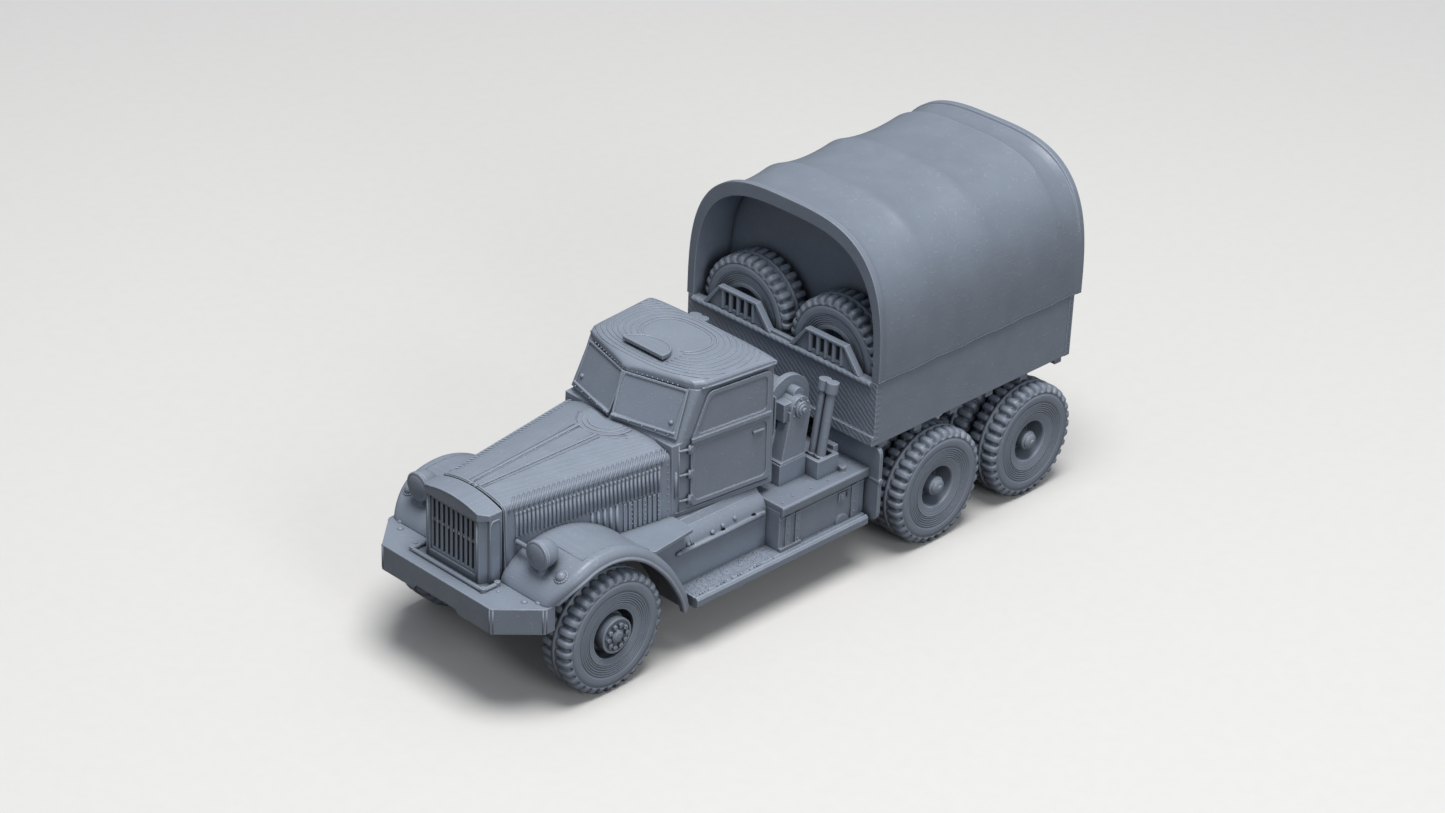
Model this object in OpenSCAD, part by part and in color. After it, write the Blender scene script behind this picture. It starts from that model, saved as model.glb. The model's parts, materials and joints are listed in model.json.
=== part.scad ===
// Printed scale model of a six-wheel cargo truck with a rigid tilt, in millimetres.
// X points forward, Y to the truck's left, Z up. The origin is on the ground under the middle.

/* [Overall] */
// open deck between the cab and the bed
deck_space = 15.75; // [13:0.05:20]
// space between the bumper and the front tyre
bumper_gap = 0.6; // [0.4:0.05:2]
// space between the splash plate and the rear tyre
splash_gap = 3.4; // [2:0.1:5]
// space between the tyres of the two rear axles
bogie_gap = 2.7; // [1.5:0.1:6]

/* [Wheels] */
// tyre diameter over the lugs
tyre_d = 20; // [17:0.1:21]
// tyre width
tyre_w = 6; // [4.5:0.1:7]
// height of the lugs
lug_h = 0.6; // [0.3:0.05:0.9]
// lugs round one tyre
lug_count = 34; // [24:1:48]
// inner diameter of the tyre
bead_d = 10.4; // [9:0.1:12]
// wall of the rim barrel
rim_wall = 0.75; // [0.5:0.05:1.2]
// inner side of the front tyre from the middle
front_in = 13.6; // [12.5:0.1:15]
// space between the frame and the inner rear tyre
twin_clear = 1.9; // [1.5:0.1:3]
// space between twin tyres
twin_gap = 0.8; // [0.4:0.1:2]
// diameter of the stub pin that a wheel turns on
pin_d = 2; // [1.6:0.1:2.4]
// radial play of a wheel on its pin
pin_play = 0.05; // [0.02:0.01:0.1]
// space between a wheel and its brake plate
brake_gap = 0.4; // [0.3:0.05:0.8]
// thickness of a brake plate
brake_t = 0.8; // [0.5:0.1:1.2]
// diameter of a brake plate
brake_d = 6.8; // [5:0.1:8]
// front hub drum diameter at its face
drum_d = 5.8; // [4:0.1:6.4]
// studs on a front hub
stud_count = 10; // [6:1:12]
// openings in the dish of a rear wheel
hole_count = 6; // [4:1:8]

/* [Frame] */
// bottom of the frame above the axles
rail_rise = 2.8; // [2.4:0.1:4]
// outer side of a rail from the middle
frame_half = 7.6; // [6.5:0.1:8.2]
// width of a rail
rail_w = 1.4; // [1:0.1:2]
// height of a rail
rail_h = 4; // [3:0.1:4.6]
// thickness of the rail web and flanges
rail_t = 0.6; // [0.4:0.05:0.9]
// width of a cross member along the truck
member_w = 1.6; // [1:0.1:2.5]
// front axle beam height and width
beam_w = 1.8; // [1.2:0.1:2.2]
// rear axle tube diameter
tube_d = 2.8; // [2:0.1:3.2]
// axle housing diameter
housing_d = 6; // [4.5:0.1:6.6]
// propeller shaft diameter
shaft_d = 1.6; // [1:0.1:2]
// gearbox width
gearbox_w = 6; // [4:0.1:8]
// thickness of a leaf spring pack
spring_t = 0.9; // [0.6:0.1:1.3]
// tow tongue bore diameter
tow_d = 1.2; // [0.8:0.1:1.6]
// metal round the tow bore
tow_rim = 0.6; // [0.4:0.1:1]
// tow tongue thickness
tow_t = 1.6; // [1:0.1:2.4]

/* [Bumper and radiator] */
// bumper deck above the frame
bumper_deck_t = 1.9; // [1.2:0.1:3]
// bumper skirt below the frame top
skirt_drop = 2.4; // [1.5:0.1:3]
// wall of the skirt
skirt_t = 1.2; // [0.8:0.1:1.8]
// half width of the bumper's flat face
bumper_face_half = 12.3; // [10:0.1:14]
// half width of the bumper over its ends
bumper_half = 17.7; // [16:0.1:20]
// length of the end chamfer along the truck
bumper_chamfer = 5.9; // [3:0.1:6.5]
// bumper depth along the truck
bumper_depth = 7.8; // [7.4:0.1:9]
// guard rod diameter
rod_d = 0.7; // [0.5:0.05:1]
// half width of the guard rod
rod_half = 8; // [7.6:0.1:10]
// radiator front behind the bumper face
rad_setback = 3.3; // [2.6:0.1:3.8]
// radiator depth
rad_depth = 3.6; // [3.2:0.1:4]
// radiator half width at its side panels
rad_half = 7; // [6.6:0.1:7.2]
// radiator half width at the front
rad_front_half = 5.9; // [5.6:0.1:6.3]
// radiator height at its shoulders above the bumper deck
rad_h = 11.7; // [11:0.1:13]
// arch of the radiator top
rad_arch = 1.3; // [0.6:0.1:2]
// edge of the radiator cap
cap_h = 0.9; // [0.5:0.05:1.4]
// radiator cap past the front
cap_over = 0.3; // [0.1:0.05:0.6]
// grille half width
grille_half = 5.1; // [4.4:0.1:5.3]
// grille height
grille_h = 9.3; // [8:0.1:9.4]
// grille above the bumper deck
grille_lift = 1.3; // [0.8:0.1:1.4]
// upright bars in the grille
bar_count = 8; // [5:1:10]
// width of a grille bar
bar_w = 0.5; // [0.3:0.05:0.7]
// depth of the grille
grille_t = 1; // [0.6:0.1:1.3]

/* [Bonnet and fenders] */
// cab and bonnet above the frame
body_rise = 2.8; // [2.2:0.1:4]
// bonnet behind the tail of the fenders
bonnet_past = 2.05; // [1.5:0.05:4]
// dark seam between radiator and bonnet
bonnet_seam = 0.4; // [0.2:0.05:0.8]
// bonnet half width at the front, at its lower edge
bonnet_front_half = 7.3; // [6.8:0.1:8]
// bonnet half width at the rear, at its lower edge
bonnet_rear_half = 12.2; // [10:0.1:13]
// bonnet side height to the shoulder
bonnet_side_h = 11.2; // [9:0.1:13]
// lean of the bonnet side over its height
bonnet_tuck = 0.6; // [0.2:0.05:1.2]
// shoulder radius
shoulder_r = 0.9; // [0.4:0.1:1.5]
// crown of the bonnet at the front
crown_front = 0.8; // [0.3:0.1:1.5]
// crown of the bonnet at the rear
crown_rear = 1.9; // [0.8:0.1:2.6]
// wall of the bonnet
bonnet_wall = 1.2; // [0.8:0.1:1.8]
// louvres on each side
louvre_count = 36; // [20:1:40]
// louvre height
louvre_h = 3.8; // [2.5:0.1:4.4]
// how far a louvre stands out
louvre_t = 0.3; // [0.15:0.05:0.4]
// flutes on the rear of each lower side
flute_count = 8; // [4:1:10]
// hinge strip width
strip_w = 0.5; // [0.3:0.05:0.8]
// hinge strip from the middle at the front
strip_y = 0.9; // [0.6:0.05:1.4]
// radius of the hump before the windscreen
hump_r = 4.6; // [3.5:0.1:5.4]
// fender past the outer side of the front tyre
fender_cover = 0.1; // [0:0.05:0.6]
// shell of the fenders
fender_t = 1.1; // [0.8:0.1:1.4]
// depth of the fender lip below the crown
lip_h = 2; // [1.7:0.1:2.4]
// thickness of the fender lip
lip_t = 0.8; // [0.5:0.1:1.2]
// bead on the fender lip
lip_bead = 0.2; // [0.1:0.05:0.4]
// rounding of the fender's outer edge
fender_round = 1.4; // [0.8:0.1:1.6]
// shelf between the fender and the cab
shelf_t = 0.6; // [0.4:0.05:1]
// headlamp diameter
lamp_d = 4.5; // [3.5:0.1:5.2]
// headlamp from the middle
lamp_y = 13.4; // [12.6:0.1:15]
// headlamp ahead of the front axle
lamp_x = 9.2; // [8:0.1:10]
// headlamp above the fender
lamp_lift = 0.7; // [0.4:0.05:1.2]
// marker lamp diameter
marker_d = 1.8; // [1.2:0.1:2.4]

/* [Cab] */
// cab length at its sides
cab_len = 19.7; // [17:0.1:22]
// cab half width at the rear
cab_rear_half = 14.2; // [12.8:0.1:15]
// foot of the windscreen above the bonnet shoulder
screen_rise = 1.2; // [0.8:0.1:2]
// upright height of the windscreen
screen_h = 8.05; // [6:0.05:10]
// lean of the windscreen to the rear
screen_shift = 3.6; // [1:0.1:5]
// how far the windscreen's middle stands ahead of its sides
screen_sweep = 3.3; // [1.5:0.1:4.5]
// windscreen sides behind the front of the cab
screen_setback = 1.2; // [0.6:0.1:2]
// inward lean of the cab sides over their height
cab_tuck = 0.6; // [0.2:0.05:1.2]
// cab wall
cab_wall = 1.2; // [0.8:0.1:1.8]
// rounding of the front corner posts
post_round = 1.1; // [0.4:0.1:1.6]
// crown of the roof
roof_crown = 1.5; // [0.8:0.1:2.2]
// roof lip thickness
roof_lip_t = 0.35; // [0.25:0.05:0.9]
// roof lip past the cab walls
roof_lip = 0.35; // [0.2:0.05:0.6]
// radius of the roof vent
vent_r = 4.4; // [3:0.1:5]
// height of the roof vent
vent_h = 1.1; // [0.5:0.05:1.4]
// thickness of the door plates and window frames
door_t = 0.4; // [0.3:0.05:0.7]
// rounding of the door and window corners
corner_r = 1; // [0.5:0.1:1.6]
// width of the window frames
pane_edge = 0.75; // [0.5:0.05:1]
// belt moulding height
belt_w = 0.7; // [0.4:0.05:1]

/* [Side equipment] */
// side box face from the middle
box_out = 15.8; // [15:0.1:17]
// rounding of the side box top
box_round = 2.6; // [1.5:0.1:3.4]
// half width of the cab floor
floor_half = 11.4; // [10.5:0.1:11.7]
// running board outer edge from the middle
board_out = 20.4; // [19:0.1:22]
// running board thickness
board_t = 1.8; // [1:0.1:2.4]
// running board top below the frame top
board_drop = 7; // [6:0.1:8]
// locker face from the middle
locker_out = 18.7; // [17.5:0.1:19]
// locker front ahead of the cab's rear wall
locker_lap = 2.5; // [1.5:0.1:4]
// strap width
strap_w = 1; // [0.6:0.1:1.5]
// deck edge past the locker face
deck_over = 0.7; // [0.4:0.05:1.5]
// deck thickness
deck_t = 1.1; // [0.8:0.1:1.6]
// rolled deck edge below the deck
deck_roll = 0.7; // [0.3:0.05:1.2]
// deck under the bed
deck_lap = 1.2; // [0.6:0.1:1.8]
// winch shaft behind the cab
winch_back = 6.2; // [5.6:0.1:7]
// winch shaft above the deck
winch_rise = 12.2; // [10:0.1:14]
// winch flange diameter
flange_d = 9.4; // [7:0.1:10.4]
// outer side of the winch legs from the middle
winch_half = 14.2; // [13:0.1:15]
// thickness of a winch leg
leg_t = 3; // [2:0.1:3.6]
// height of the winch base block
winch_base_h = 4; // [3:0.1:5]
// length of the jack tray
tray_len = 4.7; // [4:0.1:5.4]
// height of the jack tray
tray_h = 3.1; // [2:0.1:4]
// outer side of the jack tray past the winch legs
tray_over = 2.5; // [1.5:0.1:3.5]
// width of the jack tray
tray_w = 4.5; // [4:0.1:5.5]
// diameter of a jack post
post_d = 1.5; // [1.2:0.1:1.7]
// length of a jack post
post_len = 13; // [9:0.1:15]
// lean of the jack posts to the rear in degrees
post_lean = 9; // [0:0.5:12]
// splash plate past the bed side
splash_over = 0.5; // [0.2:0.1:1.2]
// splash plate thickness
splash_t = 0.7; // [0.5:0.05:1]
// splash plate top above the frame
splash_up = 5.2; // [4:0.1:5.6]
// splash plate bottom below the frame top
splash_drop = 8; // [6:0.1:9.5]
// splash plate corner radius
splash_r = 1.5; // [0.8:0.1:2.5]

/* [Bed and tilt] */
// height of the bed's long bearers
bearer_h = 4.5; // [4:0.1:6]
// height of the bed's cross bearers
cross_h = 1.5; // [1:0.1:2]
// cross bearers short of the bed sides
cross_short = 0.8; // [0.4:0.1:1.1]
// bed length
bed_len = 47.2; // [43:0.1:50]
// bed half width
bed_half = 21; // [20.4:0.1:22]
// bed height
bed_h = 11; // [9:0.1:13]
// bed wall
bed_wall = 1.2; // [0.8:0.1:1.8]
// bed floor
bed_floor_t = 1.3; // [1:0.1:2]
// load floor laid in the bed
plank_t = 0.6; // [0.4:0.05:1]
// tilt past the tailgate
tilt_lip = 1.5; // [0.8:0.1:2.5]
// tilt height above the bed
tilt_h = 24.2; // [20:0.1:28]
// tilt past the bed sides
tilt_over = 0.3; // [0.05:0.05:0.4]
// tilt wall
tilt_wall = 1.2; // [0.8:0.1:1.8]
// sag of the tilt between its bows
tilt_sag = 0.9; // [0.2:0.05:1.2]
// rim bead at the tilt's ends
tilt_bead = 0.2; // [0.1:0.05:0.4]
// width of the rim bead
bead_w = 1; // [0.6:0.05:1.6]
// squareness of the tilt's arch
tilt_power = 3.15; // [2.2:0.05:4]
// bulkhead thickness
bulkhead_t = 1; // [0.6:0.1:1.6]
// space between a spare tyre and the bed walls
spare_gap = 0.4; // [0.2:0.05:1]
// spare bracket height
bracket_h = 4; // [3:0.1:5]
// spare bracket thickness
bracket_t = 0.8; // [0.5:0.1:1.1]

/* [Fits] */
// space between pieces that sit side by side
fit = 0.05; // [0.02:0.01:0.1]

/* [Hidden] */
$fn = 48;
tail_reach = 1.63 * tyre_d / 2;
bonnet_len = bumper_depth + bumper_gap + tyre_d / 2 + tail_reach + bonnet_past
    - rad_setback - rad_depth - bonnet_seam - fit;
body_len = rad_setback + rad_depth + bonnet_seam + bonnet_len + fit + cab_len;
overall = body_len + deck_space + bed_len + tilt_lip;
nose_x = overall / 2;
tail_x = -overall / 2;
axle_z = tyre_d / 2;
rail_z = axle_z + rail_rise;
frame_z = rail_z + rail_h;
rail_in = frame_half - rail_w;
bumper_back = nose_x - bumper_depth;
fax = bumper_back - bumper_gap - tyre_d / 2;
deck1_z = frame_z + bumper_deck_t;
body_z = frame_z + body_rise;
rad_front = nose_x - rad_setback;
rad_back = rad_front - rad_depth;
bonnet_front = rad_back - bonnet_seam;
bonnet_back = bonnet_front - bonnet_len;
shoulder_z = body_z + bonnet_side_h;
cab_front = bonnet_back - fit;
cab_back = cab_front - cab_len;
belt_z = shoulder_z + screen_rise;
cab_belt_h = belt_z - body_z;
roof_z = belt_z + screen_h;
screen_x = cab_front - screen_setback;
deck_z = frame_z + deck_t;
deck_half = locker_out + deck_over;
board_z = frame_z - board_drop;
bed_front = cab_back - deck_space;
bed_back = bed_front - bed_len;
bed_z = frame_z + bearer_h + cross_h;
bed_floor = bed_z + bed_floor_t;
bed_top = bed_z + bed_h;
deck_back = bed_front - deck_lap;
bogie_spacing = tyre_d + bogie_gap;
rax1 = deck_back - splash_t - splash_gap - tyre_d / 2;
rax2 = rax1 - bogie_spacing;
bogie_x = (rax1 + rax2) / 2;
locker_front = cab_back + locker_lap;
winch_x = cab_back - winch_back;
winch_z = deck_z + winch_rise;
flange_r = flange_d / 2;
tray_front = winch_x - 0.3 * flange_r - 4 * fit;
bed_in = bed_half - max(bed_wall, tilt_wall);
splash_out = bed_half + splash_over;
spare_d = bed_in - spare_gap - fit;
spare_x = bed_front - bed_wall - spare_gap;
bulkhead_x = spare_x - tyre_w - spare_gap;
pin_r = pin_d / 2;
bore_r = pin_r + pin_play;
rim_r = bead_d / 2 - fit;
front_out = front_in + tyre_w;
fender_half = front_out + fender_cover;
twin_in = frame_half + twin_clear;
louvre_z = shoulder_z - 2 * shoulder_r - louvre_h;
fender_tail = fax - tail_reach;

// crown line of a fender from its tail to its nose, in tyre radii: ahead of the axle, above the axle
FENDER_LINE = [
    [-1.65, -0.5], [-1.63, -0.26], [-1.55, 0.06], [-1.4, 0.36], [-1.19, 0.68], [-0.92, 0.98],
    [-0.63, 1.22], [-0.3, 1.39], [0.06, 1.47], [0.42, 1.45], [0.72, 1.35], [0.97, 1.19],
    [1.16, 0.99], [1.24, 0.8], [1.26, 0.6]
];
// cross members: behind the front axle, in tyre radii
MEMBERS = [-0.8, 1.7, 2.9, 5.6];
// tilt bows: share of the tilt length from its front
BOWS = [0, 0.24, 0.54, 0.87, 1];

BODY = [0.50, 0.54, 0.58];
DARK = [0.42, 0.45, 0.49];

function unit(v) = v / norm(v);
function lerp(a, b, t) = a + (b - a) * t;
function flat(lists) = [for (l = lists) each l];
// placing matrix with its X from o to a, its Z out of the face that o, a and b span
function face_frame(o, a, b) =
    let (e1 = unit(a - o), n = unit(cross(a - o, b - o)), e2 = cross(n, e1))
    [[e1[0], e2[0], n[0], o[0]], [e1[1], e2[1], n[1], o[1]], [e1[2], e2[2], n[2], o[2]], [0, 0, 0, 1]];
// point of a smooth curve through p1 and p2
function curve(p0, p1, p2, p3, t) =
    0.5 * (2 * p1 + (p2 - p0) * t + (2 * p0 - 5 * p1 + 4 * p2 - p3) * t * t
    + (3 * p1 - p0 - 3 * p2 + p3) * t * t * t);
// points of a smooth curve through a table, without its two end rows
function smooth(tab, steps) = [
    for (i = [1:len(tab) - 3]) for (s = [0:steps - 1])
        curve(tab[i - 1], tab[i], tab[i + 1], tab[i + 2], s / steps),
    tab[len(tab) - 2]
];
// outline with its corners rounded over a length r along each edge
function round_poly(pts, r) =
    let (n = len(pts), k = 4)
    [
        for (i = [0:n - 1])
            let (p = pts[i], u = unit(pts[(i + n - 1) % n] - p) * r, v = unit(pts[(i + 1) % n] - p) * r)
            for (s = [0:k]) p + u * pow(1 - s / k, 2) + v * pow(s / k, 2)
    ];

// solid through closed loops of the same number of points, first loop at the front or the top
module loft(loops) {
    n = len(loops[0]);
    m = len(loops);
    sides = [
        for (i = [0:m - 2]) for (j = [0:n - 1])
            let (k = (j + 1) % n)
            each [[i * n + j, i * n + k, (i + 1) * n + j], [i * n + k, (i + 1) * n + k, (i + 1) * n + j]]
    ];
    first = [for (j = [n - 1:-1:0]) j];
    last = [for (j = [0:n - 1]) (m - 1) * n + j];
    polyhedron(points = flat(loops), faces = concat(sides, [first], [last]), convexity = 8);
}

module box(x0, x1, y0, y1, z0, z1) {
    translate([min(x0, x1), min(y0, y1), min(z0, z1)])
        cube([abs(x1 - x0), abs(y1 - y0), abs(z1 - z0)]);
}

// round bar along Y
module bar_y(x, z, y0, y1, r) {
    translate([x, y0, z])
        rotate([-90, 0, 0])
            cylinder(h = y1 - y0, r = r);
}

// round bar along X
module bar_x(y, z, x0, x1, r) {
    translate([x0, y, z])
        rotate([0, 90, 0])
            cylinder(h = x1 - x0, r = r);
}

// shape turned about the wheel axis: outline of radius and distance outward from y0
module turned(x, y0, z) {
    translate([x, y0, z])
        rotate([-90, 0, 0])
            rotate_extrude()
                children();
}

// shape drawn as X and Z, from y0 to y1
module side_cut(y0, y1) {
    translate([0, y1, 0])
        rotate([90, 0, 0])
            linear_extrude(height = y1 - y0)
                children();
}

// shape drawn as Y and Z, from x0 forward to x1
module cross_cut(x0, x1) {
    translate([x0, 0, 0])
        rotate([90, 0, 90])
            linear_extrude(height = x1 - x0)
                children();
}

module right_side() {
    mirror([0, 1, 0])
        children();
}

module both_sides() {
    children();
    right_side()
        children();
}

// wheels and tyres
module lug_outline(d) {
    step = 360 / lug_count;
    polygon([
        for (i = [0:lug_count - 1]) for (p = [[0, 0], [0.64, 0], [0.82, lug_h]])
            (d / 2 - p[1]) * [cos(90 + (i + p[0]) * step), sin(90 + (i + p[0]) * step)]
    ]);
}

module tyre(x, y0) {
    translate([x, y0, axle_z])
        rotate([-90, 0, 0])
            linear_extrude(height = tyre_w)
                difference() {
                    lug_outline(tyre_d);
                    circle(d = bead_d / cos(15), $fn = 12);
                }
}

module front_wheel(x) {
    rim_in = rim_r - rim_wall;
    flange = 0.92 * rim_in;
    drum = drum_d / 2;
    cap = 0.4 * drum;
    lip = drum / 8;
    face = 1.05 * tyre_w;
    difference() {
        union() {
            turned(x, front_in, axle_z)
                polygon([
                    [0, 0.07 * tyre_w], [rim_in, 0.07 * tyre_w], [rim_in, 0.05 * tyre_w], [rim_r, 0.05 * tyre_w],
                    [rim_r, 0.97 * tyre_w], [flange, 0.93 * tyre_w], [flange, 0.85 * tyre_w],
                    [rim_in, 0.8 * tyre_w], [rim_in, 0.27 * tyre_w],
                    [drum + 2 * lip, 0.27 * tyre_w], [drum + lip, 0.7 * tyre_w], [drum, 0.73 * tyre_w],
                    [drum, face], [drum - lip, face], [drum - lip, 0.97 * face], [cap, 0.97 * face],
                    [0.92 * cap, 1.03 * face], [0.6 * cap, 1.07 * face], [0, 1.08 * face]
                ]);
            for (i = [0:stud_count - 1])
                translate([x, front_in + 0.92 * face, axle_z])
                    rotate([-90, 0, 0])
                        rotate([0, 0, i * 360 / stud_count])
                            translate([(drum - lip + cap) / 2, 0, 0])
                                cylinder(h = 0.14 * face, r = lip, $fn = 16);
        }
        bar_y(x, axle_z, front_in - 1, front_in + 0.9 * tyre_w, bore_r);
    }
}

module rear_wheel(x) {
    rim_in = rim_r - rim_wall;
    in_end = 0.95 * tyre_w;
    mid = tyre_w + twin_gap;
    full = 2 * tyre_w + twin_gap;
    hub = 0.39 * rim_in;
    floor_y = mid + 0.32 * tyre_w;
    difference() {
        turned(x, twin_in, axle_z)
            polygon([
                [0, 0.07 * tyre_w], [1.4 * hub, 0.07 * tyre_w], [1.4 * hub, 0.8 * in_end], [rim_in, 0.8 * in_end],
                [rim_in, 0.05 * tyre_w], [rim_r, 0.05 * tyre_w], [rim_r, in_end], [0.95 * rim_in, in_end],
                [0.95 * rim_in, mid + 0.05 * tyre_w], [rim_r, mid + 0.05 * tyre_w], [rim_r, full - 0.03 * tyre_w],
                [0.84 * rim_in, full - 0.09 * tyre_w], [0.8 * rim_in, full - 0.13 * tyre_w],
                [0.75 * rim_in, floor_y], [hub, floor_y], [0.94 * hub, full - 0.14 * tyre_w],
                [0.8 * hub, full - 0.12 * tyre_w], [0.74 * hub, full - 0.05 * tyre_w], [0.5 * hub, full],
                [0.25 * hub, full + 0.01 * tyre_w], [0.22 * hub, full + 0.03 * tyre_w], [0, full + 0.03 * tyre_w]
            ]);
        bar_y(x, axle_z, twin_in - 1, twin_in + full - 0.27 * tyre_w, bore_r);
        for (i = [0:hole_count - 1])
            translate([x, twin_in + 0.7 * in_end, axle_z])
                rotate([-90, 0, 0])
                    rotate([0, 0, i * 360 / hole_count])
                        translate([0.58 * rim_in, 0, 0])
                            cylinder(h = tyre_w, r = 0.15 * rim_in, $fn = 16);
    }
}

module twin_tyres(x) {
    tyre(x, twin_in);
    tyre(x, twin_in + tyre_w + twin_gap);
}

module front_tyre_left() { color(DARK) tyre(fax, front_in); }
module front_tyre_right() { right_side() front_tyre_left(); }
module front_wheel_left() { color(BODY) front_wheel(fax); }
module front_wheel_right() { right_side() front_wheel_left(); }
module rear_one_tyres_left() { color(DARK) twin_tyres(rax1); }
module rear_one_tyres_right() { right_side() rear_one_tyres_left(); }
module rear_one_wheel_left() { color(BODY) rear_wheel(rax1); }
module rear_one_wheel_right() { right_side() rear_one_wheel_left(); }
module rear_two_tyres_left() { color(DARK) twin_tyres(rax2); }
module rear_two_tyres_right() { right_side() rear_two_tyres_left(); }
module rear_two_wheel_left() { color(BODY) rear_wheel(rax2); }
module rear_two_wheel_right() { right_side() rear_two_wheel_left(); }

// chassis
module chassis_frame() {
    front_end = nose_x - skirt_t - fit;
    back_end = bed_back + rail_t;
    bend = fax + 0.6 * axle_z;
    web = frame_half - rail_t;
    color(DARK) {
        both_sides()
            difference() {
                side_cut(rail_in, frame_half)
                    polygon([
                        [back_end, rail_z], [bend, rail_z], [front_end, frame_z - skirt_drop],
                        [front_end, frame_z], [back_end, frame_z]
                    ]);
                box(back_end + member_w, bend - rail_t, rail_in - 1, web, rail_z + rail_t, frame_z - rail_t);
            }
        for (m = MEMBERS)
            box(fax - m * axle_z, fax - m * axle_z - member_w, -web, web, rail_z + 0.2 * rail_h, frame_z - 0.2 * rail_h);
        box(bogie_x - member_w, bogie_x + member_w, -web, web, rail_z + rail_t, frame_z - 0.2 * rail_h);
        box(back_end, back_end + member_w, -web, web, rail_z, frame_z);
        both_sides()
            bogie_spring();
        tow_tongue(back_end);
    }
}

module bogie_spring() {
    seat = axle_z + tube_d / 2 + fit;
    reach = bogie_spacing / 2 + 0.6 * tube_d;
    arm = 0.77 * reach;
    pad = 0.2 * reach;
    side_cut(rail_in + fit, frame_half - fit)
        polygon([
            [bogie_x - reach, seat], [bogie_x - arm, seat], [bogie_x, rail_z - 1.2 * spring_t],
            [bogie_x + arm, seat], [bogie_x + reach, seat], [bogie_x + reach, seat + spring_t / 2],
            [bogie_x + pad, rail_z - 0.2 * spring_t], [bogie_x + 0.7 * pad, rail_z + rail_t],
            [bogie_x - 0.7 * pad, rail_z + rail_t], [bogie_x - pad, rail_z - 0.2 * spring_t],
            [bogie_x - reach, seat + spring_t / 2]
        ]);
}

module tow_tongue(x1) {
    eye_x = tail_x + tow_d / 2 + tow_rim;
    z0 = rail_z + 0.25 * rail_h;
    difference() {
        union() {
            translate([eye_x, 0, z0])
                cylinder(h = tow_t, r = tow_d / 2 + tow_rim);
            box(eye_x, x1 + member_w / 2, -tow_d / 2 - tow_rim, tow_d / 2 + tow_rim, z0, z0 + tow_t);
        }
        translate([eye_x, 0, z0 - 1])
            cylinder(h = tow_t + 2, d = tow_d);
    }
}

module stub(x, y0, y1) {
    bar_y(x, axle_z, y0, y1, pin_r);
}

module front_axle() {
    plate_y = front_in - brake_gap - brake_t;
    knuckle = 0.72 * beam_w;
    color(DARK)
        both_sides() {
            box(fax - beam_w / 2, fax + beam_w / 2, -0.01, plate_y - knuckle, axle_z - beam_w / 2, axle_z + beam_w / 2);
            translate([fax, plate_y - knuckle, axle_z - 0.83 * beam_w])
                cylinder(h = 1.66 * beam_w, r = knuckle);
            bar_y(fax, axle_z, plate_y - knuckle, plate_y + fit, knuckle);
            bar_y(fax, axle_z, plate_y, plate_y + brake_t, brake_d / 2);
            stub(fax, plate_y, front_in + 0.87 * tyre_w);
            leaf_spring();
        }
}

module leaf_spring() {
    seat = axle_z + beam_w / 2;
    hang = rail_z - fit;
    x1 = fax + 0.6 * axle_z;
    x0 = fax - 0.95 * axle_z;
    side_cut(rail_in + fit, frame_half - fit)
        polygon([
            [x0, hang - 0.8 * spring_t], [fax - 0.4 * axle_z, seat + 0.2 * spring_t],
            [fax - beam_w / 2, seat - 0.2 * spring_t], [fax + beam_w / 2, seat - 0.2 * spring_t],
            [fax + 0.4 * axle_z, seat + 0.2 * spring_t], [x1, hang - 0.8 * spring_t], [x1, hang],
            [x1 - spring_t, hang], [fax + 0.3 * axle_z, seat + 1.1 * spring_t],
            [fax - 0.3 * axle_z, seat + 1.1 * spring_t], [x0 + spring_t, hang], [x0, hang]
        ]);
}

module rear_axle(x) {
    plate_y = twin_in - brake_gap - brake_t;
    both_sides() {
        bar_y(x, axle_z, -0.01, plate_y + fit, tube_d / 2);
        bar_y(x, axle_z, plate_y, plate_y + brake_t, brake_d / 2);
        stub(x, plate_y, twin_in + 1.7 * tyre_w + twin_gap);
    }
    translate([x, 0, axle_z])
        sphere(d = housing_d);
    bar_x(0, axle_z, x, x + 0.73 * housing_d, 0.22 * housing_d);
}

module rear_axle_one() { color(DARK) rear_axle(rax1); }
module rear_axle_two() {
    color(DARK) {
        rear_axle(rax2);
        bar_x(0, axle_z, rax2 + 0.7 * housing_d, rax1 - housing_d / 2 - fit, shaft_d / 2);
    }
}

module driveline() {
    x1 = fax - MEMBERS[1] * axle_z - member_w;
    x0 = fax - MEMBERS[2] * axle_z;
    w = gearbox_w / 2;
    nose = rax1 + 0.73 * housing_d;
    color(DARK) {
        box(x0, x1, -w, w, axle_z + shaft_d, frame_z - 0.25 * rail_h);
        box(x0, lerp(x0, x1, 0.6), -0.73 * w, 0.73 * w, axle_z - shaft_d, axle_z + 1.2 * shaft_d);
        bar_x(0, axle_z, nose, x0 + shaft_d, shaft_d / 2);
        bar_x(0, axle_z, nose, nose + shaft_d, 0.22 * housing_d);
    }
}

// front of the truck
module bumper_outline(inset) {
    x1 = nose_x - inset;
    x0 = nose_x - bumper_chamfer;
    polygon([
        [x1, -bumper_face_half + inset / 2], [x1, bumper_face_half - inset / 2], [x0, bumper_half - inset],
        [bumper_back, bumper_half - inset], [bumper_back, -bumper_half + inset], [x0, -bumper_half + inset]
    ]);
}

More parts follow.
